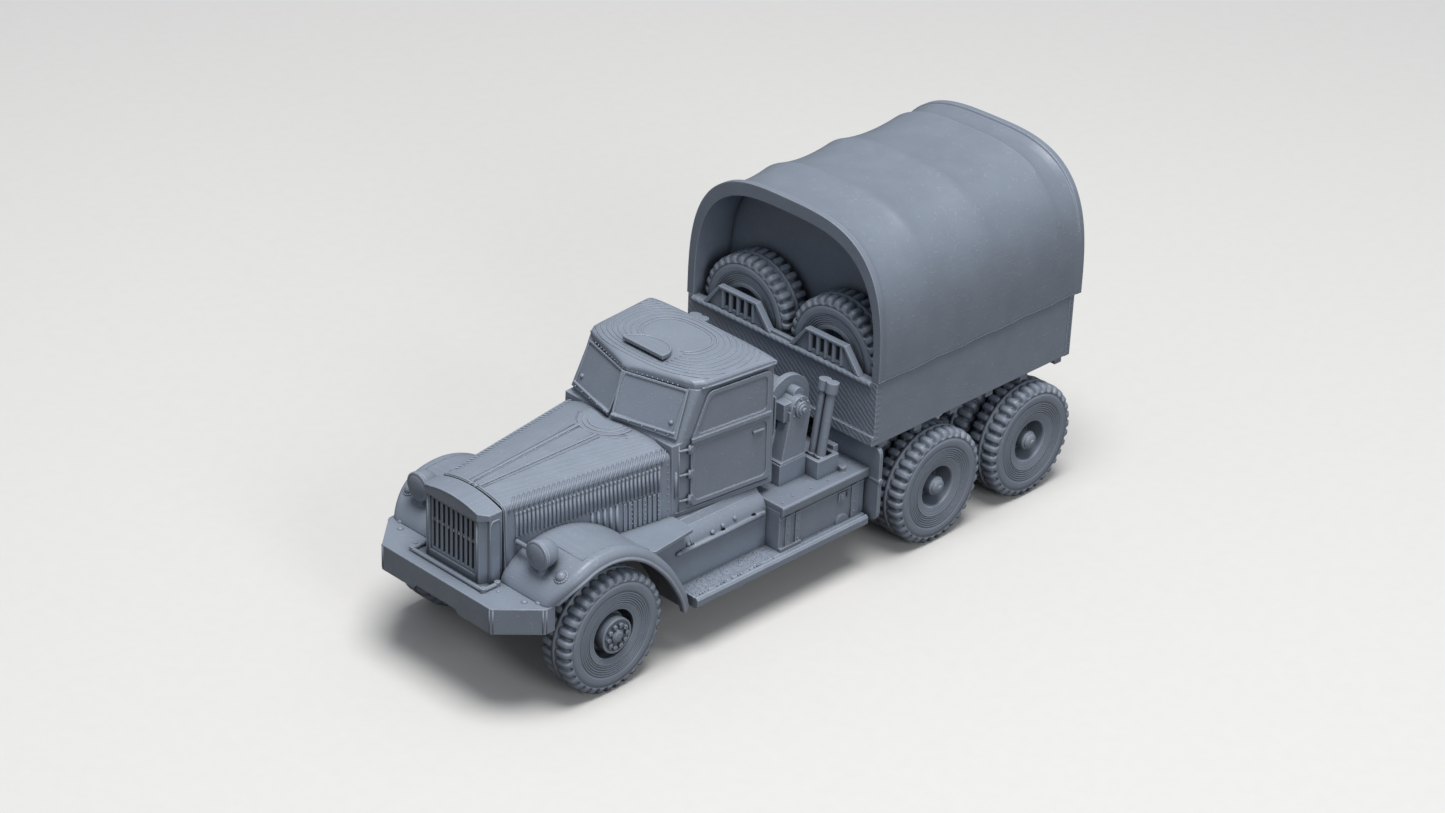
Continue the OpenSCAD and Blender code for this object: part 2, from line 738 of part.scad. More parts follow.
module bumper() {
    low = frame_z - skirt_drop;
    notch = 0.36 * bumper_face_half;
    color(BODY) {
        difference() {
            translate([0, 0, low])
                linear_extrude(height = skirt_drop + bumper_deck_t)
                    bumper_outline(0);
            translate([0, 0, low - 1])
                linear_extrude(height = skirt_drop + 1)
                    union() {
                        bumper_outline(skirt_t);
                        translate([bumper_back - 1, -bumper_half + skirt_t])
                            square([2, 2 * (bumper_half - skirt_t)]);
                    }
            cross_cut(nose_x - 2 * skirt_t, nose_x + 1)
                polygon([
                    [-notch - 1.5, low - 1], [notch + 1.5, low - 1], [notch, low + 0.3 * skirt_drop],
                    [-notch, low + 0.3 * skirt_drop]
                ]);
        }
        guard_rod();
    }
}

module guard_rod() {
    r = rod_d / 2;
    z = deck1_z + 0.85 * r;
    x1 = rad_front + cap_over + rod_d;
    x0 = fax + 1.26 * axle_z + rod_d;
    bar_y(x1, z, -rod_half, rod_half, r);
    both_sides() {
        bar_x(rod_half, z, x0, x1, r);
        for (x = [x0, x1])
            translate([x, rod_half, deck1_z - fit])
                cylinder(h = 1.2 * rod_d, r = 1.3 * r);
    }
}

module radiator_plan(over) {
    step_x = rad_front - 1.2;
    polygon([
        [rad_back, -rad_half], [step_x, -rad_half], [step_x, -rad_half + (1 - over) * 0.6],
        [rad_front + over * cap_over, -rad_front_half], [rad_front + over * cap_over, rad_front_half],
        [step_x, rad_half - (1 - over) * 0.6], [step_x, rad_half], [rad_back, rad_half]
    ]);
}

module radiator_shell() {
    pocket_z = deck1_z + grille_lift;
    top = deck1_z + rad_h;
    arch_r = (rad_half * rad_half + rad_arch * rad_arch) / (2 * rad_arch);
    color(BODY)
        difference() {
            union() {
                translate([0, 0, deck1_z])
                    linear_extrude(height = rad_h - cap_h + fit)
                        radiator_plan(0);
                intersection() {
                    translate([0, 0, top - cap_h])
                        linear_extrude(height = cap_h + rad_arch + 1)
                            radiator_plan(1);
                    bar_x(0, top + rad_arch - arch_r, rad_back - 1, nose_x, arch_r, $fn = 96);
                }
            }
            box(rad_front - grille_t - 1, rad_front + 1, -grille_half, grille_half, pocket_z, pocket_z + grille_h);
        }
}

module grille() {
    z0 = deck1_z + grille_lift + fit;
    half = grille_half - fit;
    h = grille_h - 2 * fit;
    x1 = rad_front - grille_t / 4;
    x0 = x1 - grille_t;
    edge = 0.9 * bar_w;
    pitch = (2 * half - 2 * edge + bar_w) / (bar_count + 1);
    color(BODY) {
        difference() {
            box(x0, x1, -half, half, z0, z0 + h);
            box(x0 - 1, x1 + 1, -half + edge, half - edge, z0 + edge, z0 + h - edge);
        }
        for (i = [1:bar_count])
            translate([x0, -half + edge - bar_w + i * pitch, z0 + edge / 2])
                cube([grille_t, bar_w, h - edge]);
        box(x0, x1 - bar_w / 3, -half + edge / 2, half - edge / 2, z0 + 0.56 * h - bar_w / 2, z0 + 0.56 * h + bar_w / 2);
    }
}

// bonnet side from the middle, at a place along the truck and a height
function bonnet_y(x, z) =
    lerp(bonnet_front_half, bonnet_rear_half, (bonnet_front - x) / bonnet_len)
    - bonnet_tuck * (z - body_z) / bonnet_side_h;
function bonnet_crown(x) = lerp(crown_front, crown_rear, (bonnet_front - x) / bonnet_len);
// top of the bonnet at a place along the truck and from the middle
function bonnet_top(x, y) =
    shoulder_z + bonnet_crown(x) * (1 - pow(y / (bonnet_y(x, shoulder_z) - shoulder_r), 2));
// left half of the bonnet outline from its lower edge to the middle, drawn in by a wall
function bonnet_half(x, wall, low) =
    let (w = bonnet_y(x, shoulder_z) - wall, r = shoulder_r, zs = shoulder_z - wall)
    concat(
        [[bonnet_y(x, low) - wall, low], [bonnet_y(x, zs - r) - wall, zs - r]],
        [for (a = [18, 36, 54, 72]) [w - r + r * cos(a), zs - r + r * sin(a)]],
        [for (s = [0:7]) let (y = (w - r) * (1 - s / 8)) [y, zs + bonnet_crown(x) * (1 - pow(y / (w - r), 2))]]
    );
function bonnet_arch(x, wall, low) =
    let (h = bonnet_half(x, wall, low), n = len(h))
    concat(
        h,
        [[0, shoulder_z - wall + bonnet_crown(x)]],
        [for (i = [n - 1:-1:0]) [-h[i][0], h[i][1]]]
    );
function bonnet_loop(x, wall, low) = [for (p = bonnet_arch(x, wall, low)) [x, p[0], p[1]]];

module bonnet() {
    low = body_z - 1;
    color(BODY) {
        difference() {
            loft([bonnet_loop(bonnet_front, 0, body_z), bonnet_loop(bonnet_back, 0, body_z)]);
            loft([bonnet_loop(bonnet_front + 1, bonnet_wall, low), bonnet_loop(bonnet_back - 1, bonnet_wall, low)]);
        }
        both_sides() {
            louvres();
            hinge_strip();
        }
        hump();
    }
}

// upright louvres on the left side of the bonnet, with flutes below them at the rear
module louvres() {
    z = louvre_z;
    o = [bonnet_front, bonnet_y(bonnet_front, z), z];
    a = [bonnet_back, bonnet_y(bonnet_back, z), z];
    b = [bonnet_front, bonnet_y(bonnet_front, z + louvre_h), z + louvre_h];
    run = norm(a - o);
    edge = 0.06 * run;
    pitch = (run - 2 * edge) / louvre_count;
    r = 0.34 * pitch;
    low = body_z + shelf_t + fit - z;
    start = run * (bonnet_front - fax + 0.95 * axle_z) / bonnet_len;
    gap = (run - edge - start) / flute_count;
    multmatrix(face_frame(o, a, b)) {
        for (i = [0:louvre_count - 1])
            translate([edge + (i + 0.5) * pitch, 0, louvre_t - r])
                rotate([-90, 0, 0]) {
                    cylinder(h = louvre_h, r = r, $fn = 14);
                    translate([0, 0, louvre_h])
                        cylinder(h = r, r1 = r, r2 = r / 2, $fn = 14);
                }
        for (i = [0:flute_count - 1])
            translate([start + (i + 0.2) * gap, low, -louvre_t])
                cube([0.6 * gap, -low - louvre_t, 1.8 * louvre_t]);
    }
}

// raised hinge strip on the left of the bonnet's middle, wider apart at the rear
module hinge_strip() {
    x1 = bonnet_front - strip_w;
    x0 = screen_x + screen_sweep + 0.9 * hump_r;
    o = [x1, strip_y, bonnet_top(x1, strip_y)];
    a = [x0, 2.2 * strip_y, bonnet_top(x0, 2.2 * strip_y)];
    multmatrix(face_frame(o, a, o - [0, strip_y, 0]))
        translate([0, -strip_w / 2, -strip_w / 2])
            cube([norm(a - o), strip_w, 0.9 * strip_w]);
}

// stepped hump of the scuttle, cut off along the windscreen
module hump() {
    xa = screen_x + screen_sweep + screen_shift * screen_rise / screen_h;
    z = bonnet_top(xa + hump_r / 2, 0);
    w = cab_rear_half;
    difference() {
        for (i = [0:2])
            translate([xa - 0.1 * hump_r, 0, z - 0.25 * hump_r])
                cylinder(h = 0.25 * hump_r + 0.03 * hump_r * i, r = hump_r * (1 - 0.16 * i));
        translate([0, 0, z - hump_r])
            linear_extrude(height = 2 * hump_r)
                polygon([
                    [xa + fit, 0], [xa + fit - screen_sweep * w / bonnet_rear_half, w], [cab_back, w], [cab_back, -w],
                    [xa + fit - screen_sweep * w / bonnet_rear_half, -w]
                ]);
        loft([bonnet_loop(bonnet_front, bonnet_wall / 2, body_z), bonnet_loop(bonnet_back - 2 * hump_r, bonnet_wall / 2, body_z)]);
    }
}

function fender_in(x, z) =
    (x < cab_front ? cab_y(max(x, cab_back), max(z, body_z)) : bonnet_y(min(x, bonnet_front), z)) + fit;
function fender_z(x) = axle_z + axle_z * lookup((x - fax) / axle_z, FENDER_LINE);
function fender_loop(p, t) =
    let (n = unit([-t[1], t[0]]), f = max(0, (p[0] - fax) / axle_z - 0.65) / 0.6)
    let (yo = fender_half - 0.11 * fender_half * f * f, r = fender_round, e = lip_bead)
    let (hs = concat(
        [[yo - r, 0]],
        [for (a = [15:15:90]) [yo - r + r * sin(a), -r * (1 - cos(a))]],
        [[yo + e, -r - e], [yo + e, -lip_h + e], [yo, -lip_h], [yo - lip_t, -lip_h], [yo - lip_t, -r], [yo - r, -fender_t]]
    ))
    let (q = p - fender_t * n)
    concat(
        [[p[0], fender_in(p[0], p[1]), p[1]]],
        [for (h = hs) [p[0] + n[0] * h[1], h[0], p[1] + n[1] * h[1]]],
        [[q[0], fender_in(q[0], q[1]), q[1]]]
    );

module fender_left() {
    line = smooth(FENDER_LINE, 4);
    pts = [for (p = line) [fax + axle_z * p[0], axle_z + axle_z * p[1]]];
    last = len(pts) - 1;
    loops = [for (i = [0:last]) fender_loop(pts[i], pts[min(i + 1, last)] - pts[max(i - 1, 0)])];
    lamp_foot = fender_z(fax + lamp_x);
    marker_x = fax + 0.88 * axle_z;
    color(BODY) {
        difference() {
            loft(loops);
            box(fax + 0.46 * axle_z, nose_x, 0, fender_half + 1, 0, deck1_z + fit);
            box(fax - 3 * axle_z, fax, 0, fender_half + 1, -1, board_z - board_t);
        }
        apron();
        shelf();
        translate([fax + lamp_x, lamp_y, lamp_foot - fender_t / 2])
            cylinder(h = lamp_lift + fender_t / 2 - fit, r = lamp_d / 6);
        translate([marker_x, fender_half - 1.5 * marker_d, fender_z(marker_x)])
            sphere(d = marker_d);
    }
}

// block beside the frame that the bonnet and the fender stand on
module apron() {
    x1 = bumper_back - fit;
    x0 = cab_front + fit;
    out = floor_half - fit;
    translate([0, 0, frame_z])
        linear_extrude(height = body_rise)
            polygon([
                [x1, rail_in], [x1, bonnet_y(x1, body_z) + fender_t], [fender_tail, bonnet_y(fender_tail, body_z) + fender_t],
                [fender_tail, out], [x0, out], [x0, rail_in]
            ]);
}

// flat shelf from the rear slope of the fender to the front of the cab
module shelf() {
    x1 = fax - 0.88 * axle_z;
    x0 = cab_front + fit;
    translate([0, 0, body_z])
        linear_extrude(height = shelf_t)
            polygon(round_poly([
                [x1, fender_half - fender_round], [x1, fender_in(x1, body_z)], [x0, fender_in(x0, body_z)],
                [x0, box_out + fender_round]
            ], shelf_t));
}

module fender_right() { right_side() fender_left(); }

module headlamp_left() {
    r = lamp_d / 2;
    x = fax + lamp_x;
    z = fender_z(x) + r + lamp_lift;
    color(BODY) {
        translate([x, lamp_y, z])
            rotate([0, 90, 0])
                rotate_extrude()
                    polygon(concat(
                        [for (a = [0:15:90]) [r * sin(a), -1.05 * r * cos(a)]],
                        [[r, 0.3 * r], [1.05 * r, 0.35 * r], [1.05 * r, 0.55 * r], [0.93 * r, 0.62 * r]],
                        [for (a = [60:-15:0]) [0.9 * r * sin(a) / sin(60), 0.6 * r + 0.4 * r * (cos(a) - 0.5)]]
                    ));
        bar_y(x, z - r / 4, bonnet_y(x, z) + louvre_t + fit, lamp_y, r / 6);
    }
}
module headlamp_right() { right_side() headlamp_left(); }

// cab
function cab_y(x, z) =
    lerp(bonnet_rear_half, cab_rear_half, (cab_front - x) / cab_len)
    - cab_tuck * (z - body_z) / (cab_belt_h + screen_h);
function cab_low_loop(z, w) = [
    [cab_front - w, cab_y(cab_front, z) - w, z], [cab_back + w, cab_y(cab_back, z) - w, z],
    [cab_back + w, -cab_y(cab_back, z) + w, z], [cab_front - w, -cab_y(cab_front, z) + w, z]
];
function screen_back(z) = screen_shift * (z - belt_z) / screen_h;
// corner p between the edges to a and b, rounded over a length r along each of them
function corner_arc(a, p, b, r) =
    [for (s = [0:4]) p + unit(a - p) * r * pow(1 - s / 4, 2) + unit(b - p) * r * pow(s / 4, 2)];
function cab_top_loop(z, w) =
    let (xs = screen_x - screen_back(z) - w, xm = xs + screen_sweep, xr = cab_back + w)
    let (mid = [xm, 0, z], post = [xs, cab_y(xs, z) - w, z], rear = [xr, cab_y(xr, z) - w, z])
    let (left = corner_arc(mid, post, rear, post_round))
    concat(
        [mid], left, [rear, [rear[0], -rear[1], z]],
        [for (i = [len(left) - 1:-1:0]) [left[i][0], -left[i][1], z]]
    );

module cab_shell() {
    foot = belt_z - screen_rise / 2;
    color(BODY)
        difference() {
            union() {
                loft([cab_low_loop(belt_z, 0), cab_low_loop(body_z, 0)]);
                loft([cab_top_loop(roof_z, 0), cab_top_loop(foot, 0)]);
            }
            loft([cab_low_loop(belt_z, cab_wall), cab_low_loop(body_z - 1, cab_wall)]);
            loft([cab_top_loop(roof_z - cab_wall, cab_wall), cab_top_loop(foot, cab_wall)]);
            translate([0, 0, fit])
                loft([bonnet_loop(bonnet_front, 0, body_z), bonnet_loop(bonnet_back, 0, body_z)]);
        }
}

// rise from 0 at an edge to 1, steep at first
function swell(t) = pow(1 - pow(1 - min(1, max(0, t)), 2.6), 0.4);
// cross section of the roof at a place along the truck, with its lip
function roof_loop(x) =
    let (z = roof_z, zl = roof_z + roof_lip_t, xs = screen_x - screen_shift, xm = xs + screen_sweep + roof_lip)
    let (side = cab_y(x, z), front = max(0.02 * side, cab_y(xs, z) * (xm - x) / (screen_sweep + roof_lip)))
    let (w = pow(pow(side, -9) + pow(front, -9), -1 / 9) + roof_lip)
    let (c = roof_crown * swell((xm - x) / (0.3 * cab_len)) * swell((x - cab_back + 1.2 * roof_lip) / (0.12 * cab_len)))
    concat(
        [[x, w, z]],
        [for (a = [0:7.5:180]) [x, w * sign(cos(a)) * pow(abs(cos(a)), 0.7), zl + c * pow(sin(a), 0.55)]],
        [[x, -w, z]]
    );

module cab_roof() {
    xs = screen_x - screen_shift;
    xm = xs + screen_sweep + roof_lip;
    xr = cab_back - roof_lip;
    stations = concat(
        [for (s = [0.01, 0.06, 0.13, 0.22, 0.34, 0.48, 0.64, 0.82]) lerp(xm, xs, s)],
        [for (s = [0:9]) lerp(xs, lerp(xr, xs, 0.1), s / 9)],
        [for (s = [0.07, 0.04, 0.02, 0]) lerp(xr, xs, s)]
    );
    color(BODY) {
        loft([for (x = stations) roof_loop(x)]);
        roof_scoop(xs);
    }
}

// half round air scoop, its straight edge raised and open to the front
module roof_scoop(x) {
    top = roof_z + roof_lip_t + roof_crown;
    fall = 0.55 * vent_h;
    tilt = asin(fall / vent_r);
    translate([x, 0, top])
        difference() {
            rotate([0, -tilt, 0])
                translate([0, 0, 0.35 * vent_h])
                    cylinder(h = 0.55 * vent_h, r = vent_r);
            box(0, vent_r + 1, -vent_r - 1, vent_r + 1, -1 - vent_h, 2 * vent_h);
        }
    translate([x - 0.3 * vent_r, 0, top - vent_h])
        difference() {
            cylinder(h = 1.3 * vent_h, r = 0.66 * vent_r);
            box(0, vent_r, -vent_r, vent_r, -1, 2 * vent_h);
        }
}

module screen_half() {
    zs = belt_z;
    xs = screen_x;
    o = [xs + screen_sweep, 0, zs];
    a = [xs, cab_y(xs, zs), zs];
    b = [xs + screen_sweep - screen_shift, 0, roof_z];
    w = norm(a - o);
    h = norm(b - o);
    e = door_t;
    rim = pane_edge / 2;
    low = crown_rear - screen_rise + e;
    foot = low + pane_edge;
    top = h - 0.7 * e;
    multmatrix(face_frame(o, a, b))
        translate([0, 0, fit / 2]) {
            difference() {
                linear_extrude(height = door_t)
                    polygon([[e, low], [w - e, low - e], [w - e / 2, top], [e, top]]);
                translate([0, 0, door_t / 2])
                    linear_extrude(height = 1)
                        polygon(round_poly([
                            [e + rim, foot], [w - e - pane_edge, foot - e], [w - e / 2 - rim, top - rim],
                            [e + rim, top - rim]
                        ], corner_r / 3));
            }
            translate([e, low + rim, door_t])
                rotate([0, 90, 0])
                    cylinder(h = w - 3 * e, r = 0.65 * rim, $fn = 16);
        }
}

module windscreen() { color(BODY) both_sides() screen_half(); }

module door_left() {
    z0 = body_z;
    o = [screen_x, cab_y(screen_x, z0), z0];
    a = [cab_back, cab_y(cab_back, z0), z0];
    b = [screen_x, cab_y(screen_x, belt_z), belt_z];
    e = door_t;
    u0 = 0.11 * cab_len;
    u1 = norm(a - o) - 2 * e;
    v0 = 0.1 * cab_belt_h;
    vb = cab_belt_h - e / 2;
    v1 = cab_belt_h + screen_h - 1.5 * e;
    slant = screen_shift * (v1 - vb) / screen_h;
    color(BODY)
        multmatrix(face_frame(o, a, b))
            translate([0, 0, fit / 2]) {
                difference() {
                    linear_extrude(height = door_t)
                        polygon(round_poly([[u0, v0], [u1, v0], [u1, v1], [u0 + slant, v1], [u0, vb]], corner_r));
                    translate([0, 0, door_t / 2])
                        linear_extrude(height = 1)
                            polygon(round_poly([
                                [u0 + 1.5 * pane_edge, vb + belt_w + e], [u1 - pane_edge, vb + belt_w + e],
                                [u1 - pane_edge, v1 - pane_edge], [u0 + slant + pane_edge / 2, v1 - pane_edge]
                            ], corner_r));
                    translate([0, 0, door_t / 2])
                        linear_extrude(height = 1)
                            polygon(round_poly([
                                [u0 + pane_edge, v0 + pane_edge], [u1 - pane_edge, v0 + pane_edge], [u1 - pane_edge, vb - pane_edge],
                                [u0 + pane_edge, vb - pane_edge]
                            ], corner_r));
                }
                translate([u0, vb, door_t - 0.1])
                    cube([u1 - u0, belt_w, door_t]);
                translate([u1 - 5 * belt_w, vb - 3 * belt_w, e])
                    rotate([0, 90, 0])
                        cylinder(h = 3 * belt_w, r = 0.4 * belt_w, $fn = 16);
                for (v = [0.22, 0.56, 0.9])
                    translate([u0, (v - 0.04) * cab_belt_h, e])
                        rotate([-90, 0, 0])
                            cylinder(h = 0.09 * cab_belt_h, r = e, $fn = 16);
            }
}
module door_right() { right_side() door_left(); }

module cab_floor() {
    color(DARK)
        box(cab_front, cab_back, -floor_half, floor_half, frame_z, body_z);
}

// side equipment
// point of the fender's line moved to the rear, clear of the fender
function fender_behind(p) = [fax + axle_z * (p[0] - 0.03), axle_z + axle_z * p[1]];

// side box drawn as Y and Z, with its outer top edge rounded
module box_section(top, mid) {
    r = box_round;
    polygon([[floor_half, board_z], [box_out, board_z], [box_out, mid], [box_out - r, top], [floor_half, top]]);
    intersection() {
        translate([box_out - r, mid])
            circle(r = r);
        translate([floor_half, board_z])
            square([box_out, top - board_z]);
    }
}

module side_box_left() {
    x0 = locker_front + fit;
    x1 = fender_tail - 2 * fit;
    x2 = fax - 0.95 * axle_z;
    top = body_z - fit;
    r = box_round;
    mid = top - 1.35 * r;
    rod = 0.14 * r;
    color(BODY) {
        difference() {
            cross_cut(x0, x2)
                box_section(top, mid);
            side_cut(0, box_out + 1)
                polygon(concat(
                    [for (i = [1:5]) fender_behind(FENDER_LINE[i])],
                    [[fax, top + 1], [fax, board_z - 1], [x1, board_z - 1]]
                ));
            box(x1, x2 + 1, 0, bonnet_rear_half + fender_t + fit, board_z - 1, top + 1);
        }
        bar_x(box_out + rod / 2, mid, x0 + r / 4, x1 - r / 4, rod);
        for (x = [0.15, 0.5, 0.85])
            translate([lerp(x0, x1, x), box_out, mid])
                sphere(r = 1.6 * rod, $fn = 24);
    }
}
module side_box_right() { right_side() side_box_left(); }

module running_board_left() {
    x0 = deck_back + splash_t;
    x1 = fender_tail - 2 * fit;
    y0 = floor_half + board_t / 3;
    e = 0.2 * board_t;
    color(BODY)
        cross_cut(x0, x1)
            polygon([
                [y0, board_z - board_t], [board_out - e, board_z - board_t], [board_out, board_z - board_t + e],
                [board_out, board_z - e], [board_out - e, board_z], [board_out - 2 * e, board_z],
                [board_out - 2.5 * e, board_z - e / 2], [board_out - 3 * e, board_z], [y0, board_z]
            ]);
}
module running_board_right() { right_side() running_board_left(); }

module locker_left() {
    x1 = locker_front;
    x0 = deck_back + splash_t / 2;
    h = frame_z - board_z;
    top = frame_z - deck_roll - fit;
    e = 0.3 * strap_w;
    color(BODY) {
        box(x0, x1, floor_half + 2 * fit, locker_out, board_z, frame_z);
        for (x = [x1 - 1.2 * strap_w, x1 - 3.4 * strap_w, x0 + 3 * strap_w])
            box(x, x - strap_w, locker_out - e, locker_out + e, board_z, top - e);
        box(x0 + 1.2 * strap_w, x0 + 1.8 * strap_w, locker_out - e, locker_out + e / 2, board_z, top - e);
        box(x0 + 4.6 * strap_w, x0 + 6 * strap_w, locker_out - e, locker_out + e, board_z + 0.55 * h, board_z + 0.78 * h);
        box(x0 + 5 * strap_w, x0 + 5.6 * strap_w, locker_out, locker_out + 1.6 * e, board_z + 0.6 * h, board_z + 0.72 * h);
        intersection() {
            bar_y(x0 + 5 * strap_w, board_z, locker_out - e, locker_out + e, 1.4 * strap_w);
            box(x0, x1, floor_half, deck_half, board_z, frame_z);
        }
        box(x1, x1 - 4.6 * strap_w, locker_out - e, locker_out + 1.6 * e, board_z, board_z + 0.09 * h);
        box(x0, x1, locker_out - e, locker_out + e / 2, board_z + 0.8 * h, board_z + 0.83 * h);
    }
}
module locker_right() { right_side() locker_left(); }

module deck() {
    r = deck_over / 2;
    edge = deck_half - r;
    color(BODY) {
        difference() {
            union() {
                box(deck_back, locker_front, -edge, edge, frame_z, deck_z);
                both_sides() {
                    box(deck_back, locker_front, locker_out + fit, deck_half, frame_z - deck_roll + r, deck_z - r);
                    bar_x(edge, deck_z - r, deck_back, locker_front, r);
                    bar_x(edge, frame_z - deck_roll + r, deck_back, locker_front, r - fit);
                }
            }
            box(cab_back - fit, locker_front + 1, -floor_half - fit, floor_half + fit, frame_z - 1, deck_z + 1);
        }
        both_sides()
            translate([deck_back + 3.6 * deck_t, deck_half - 2 * deck_t, deck_z - fit])
                cylinder(h = 0.8 * deck_t, r = 0.55 * deck_t);
    }
}

module winch_frame() {
    y1 = winch_half;
    y0 = y1 - leg_t;
    base = deck_z + winch_base_h;
    f = flange_r;
    color(BODY) {
        box(winch_x + 0.6 * f, winch_x + 0.9 * f, -y0, y0, deck_z, deck_z + 0.35 * winch_base_h);
        both_sides() {
            box(winch_x - 0.3 * f, winch_x + 0.94 * f, y0 - 0.2 * leg_t, y1, deck_z, base - 0.1 * winch_base_h);
            box(winch_x - 0.25 * f, winch_x + 0.9 * f, y0, y1 - fit, deck_z, base);
            side_cut(y0 + 0.1 * leg_t, y1 - 0.1 * leg_t)
                polygon([
                    [winch_x - 0.25 * f, base - fit], [winch_x + 0.8 * f, base - fit],
                    [winch_x + 0.47 * f, winch_z - 0.2 * f], [winch_x - 0.5 * f, winch_z - 0.2 * f]
                ]);
            bar_y(winch_x, winch_z, y0, y1 - 0.1 * leg_t, 0.44 * f);
            bar_y(winch_x, winch_z, y1 - 0.2 * leg_t, y1 + 0.05 * leg_t, 0.28 * f);
            bar_y(winch_x, winch_z, y1, y1 + 0.15 * leg_t, 0.2 * f);
            bar_y(winch_x, winch_z, y1, y1 + 0.25 * leg_t, 0.09 * f);
            box(winch_x - 0.44 * f, winch_x + 0.5 * f, y0, y1 - 0.1 * leg_t, winch_z - 0.3 * f, winch_z);
            box(winch_x + 0.2 * f, winch_x + 0.66 * f, y0, y1 - 0.3 * leg_t, winch_z - 0.36 * f, winch_z + 0.3 * f);
            bar_y(winch_x - 0.1 * f, winch_z + 0.42 * f, y0, y1 - 0.45 * leg_t, 0.24 * f);
        }
    }
}

module winch_drum() {
    y1 = winch_half - leg_t;
    color(BODY) {
        bar_y(winch_x, winch_z, -y1, y1, 0.64 * flange_r);
        both_sides()
            bar_y(winch_x, winch_z, y1 - leg_t / 3, y1, flange_r);
    }
}

module jacks_left() {
    x1 = tray_front;
    x0 = x1 - tray_len;
    y1 = winch_half + tray_over;
    y0 = y1 - tray_w;
    wall = 0.15 * tray_w;
    foot = deck_z + 0.6 * tray_h;
    color(BODY) {
        difference() {
            box(x0, x1, y0, y1, deck_z, deck_z + tray_h);
            box(x0 + wall, x1 - wall, y0 + wall, y1 - wall, foot, deck_z + tray_h + 1);
        }
        for (y = [-0.5, 0.5])
            translate([lerp(x0, x1, 0.6), (y0 + y1) / 2 + y * 1.1 * post_d, foot - fit])
                rotate([0, -post_lean, 0]) {
                    cylinder(h = post_len, d = post_d);
                    cylinder(h = 0.1 * post_len, d = 1.3 * post_d);
                    translate([0, 0, 0.92 * post_len])
                        cylinder(h = 0.14 * post_len, d = 1.35 * post_d);
                }
        box(x0 - 0.2 * tray_len, x0 + fit, lerp(y0, y1, 0.3), lerp(y0, y1, 0.75), deck_z, deck_z + 1.25 * tray_h);
    }
}
module jacks_right() { right_side() jacks_left(); }

module splash_left() {
    x1 = deck_back;
    y0 = frame_half + twin_clear;
    z0 = frame_z - splash_drop;
    z1 = frame_z + splash_up;
    bead = splash_t / 2;
    color(BODY) {
        cross_cut(x1 - splash_t, x1)
            polygon(round_poly([[y0, z0], [splash_out, z0], [splash_out, z1], [y0, z1]], splash_r));
        bar_y(x1 - splash_t / 2, frame_z - splash_t - fit, deck_half + fit, splash_out + bead / 2, bead * 1.3);
    }
}
module splash_right() { right_side() splash_left(); }

// bed and tilt
module bed_bearers() {
    z1 = frame_z + bearer_h;
    x1 = deck_back - splash_t - fit;
    x0 = bed_back + member_w / 2;
    half = bed_half - cross_short;
    color(DARK) {
        both_sides()
            box(x0, x1, rail_in, frame_half, frame_z, z1 + cross_h / 2);
        for (i = [0:5])
            translate([lerp(x0, x1 - member_w, i / 5), -half, z1])
                cube([member_w, 2 * half, cross_h]);
    }
}

module bed() {
    half_in = bed_half - bed_wall;
    rail_r = 0.45 * bed_wall;
    strip = 0.1 * bed_wall;
    color(BODY) {
        difference() {
            box(bed_back, bed_front, -bed_half, bed_half, bed_z, bed_top);
            box(bed_back + bed_wall, bed_front - bed_wall, -half_in, half_in, bed_floor, bed_top + 1);
        }
        box(bed_front - fit, bed_front + 0.4 * bed_wall, -bed_half, bed_half, bed_z + fit, bed_floor + bed_wall / 3);
        bar_y(bed_front, bed_top - rail_r, -half_in, half_in, rail_r);
        both_sides()
            box(bed_back, bed_back + bed_wall, bed_half - fit, bed_half + strip, bed_z, bed_top - fit);
    }
}

module load_floor() {
    x0 = bed_back + bed_wall + fit;
    x1 = bulkhead_x - bulkhead_t - fit;
    half = bed_half - bed_wall - fit;
    color(BODY)
        box(x0, x1, -half, half, bed_floor, bed_floor + plank_t);
}

// arch of the tilt from the left foot over the top to the right foot
function tilt_arch(half, h) = [
    for (t = [0:4:180])
        [
            half * sign(cos(t)) * pow(abs(cos(t)), 2 / tilt_power),
            bed_top + h * pow(abs(sin(t)), 2 / tilt_power)
        ]
];
function tilt_loop(x, up, out) =
    [for (p = tilt_arch(bed_half + tilt_over + out, tilt_h + up)) [x, p[0], p[1]]];

module canopy() {
    x1 = bed_front;
    x0 = tail_x;
    span = x1 - x0;
    bays = len(BOWS) - 1;
    in_half = bed_half - tilt_wall;
    e = tilt_bead;
    // place along the truck, how far the top is raised there, and how far the sides stand out
    stations = [
        [x1, e, 0], [x1 - bead_w, e, 0], [x1 - bead_w - e, 0, -e / 2],
        for (b = [0:bays - 1]) for (f = [0.14:0.14:0.98])
            if (b < bays - 1 || f < 0.7)
                [x1 - span * lerp(BOWS[b], BOWS[b + 1], f), -tilt_sag * 4 * f * (1 - f), -e / 2],
        [x0 + bead_w + e, -tilt_sag / 4, -e / 2], [x0 + bead_w, e, 0], [x0, e, 0]
    ];
    color(BODY)
        difference() {
            loft([for (s = stations) tilt_loop(s[0], s[1], s[2])]);
            cross_cut(x0 - 1, x1 + 1)
                polygon(concat(
                    [[in_half, bed_top - 1]],
                    tilt_arch(in_half, tilt_h - tilt_sag - tilt_wall),
                    [[-in_half, bed_top - 1]]
                ));
        }
}

module bulkhead() {
    half = bed_in - fit;
    arch = tilt_arch(half, tilt_h - tilt_sag - tilt_wall - fit);
    color(BODY)
        cross_cut(bulkhead_x - bulkhead_t, bulkhead_x)
            polygon(concat([[half, bed_floor]], arch, [[-half, bed_floor]]));
}

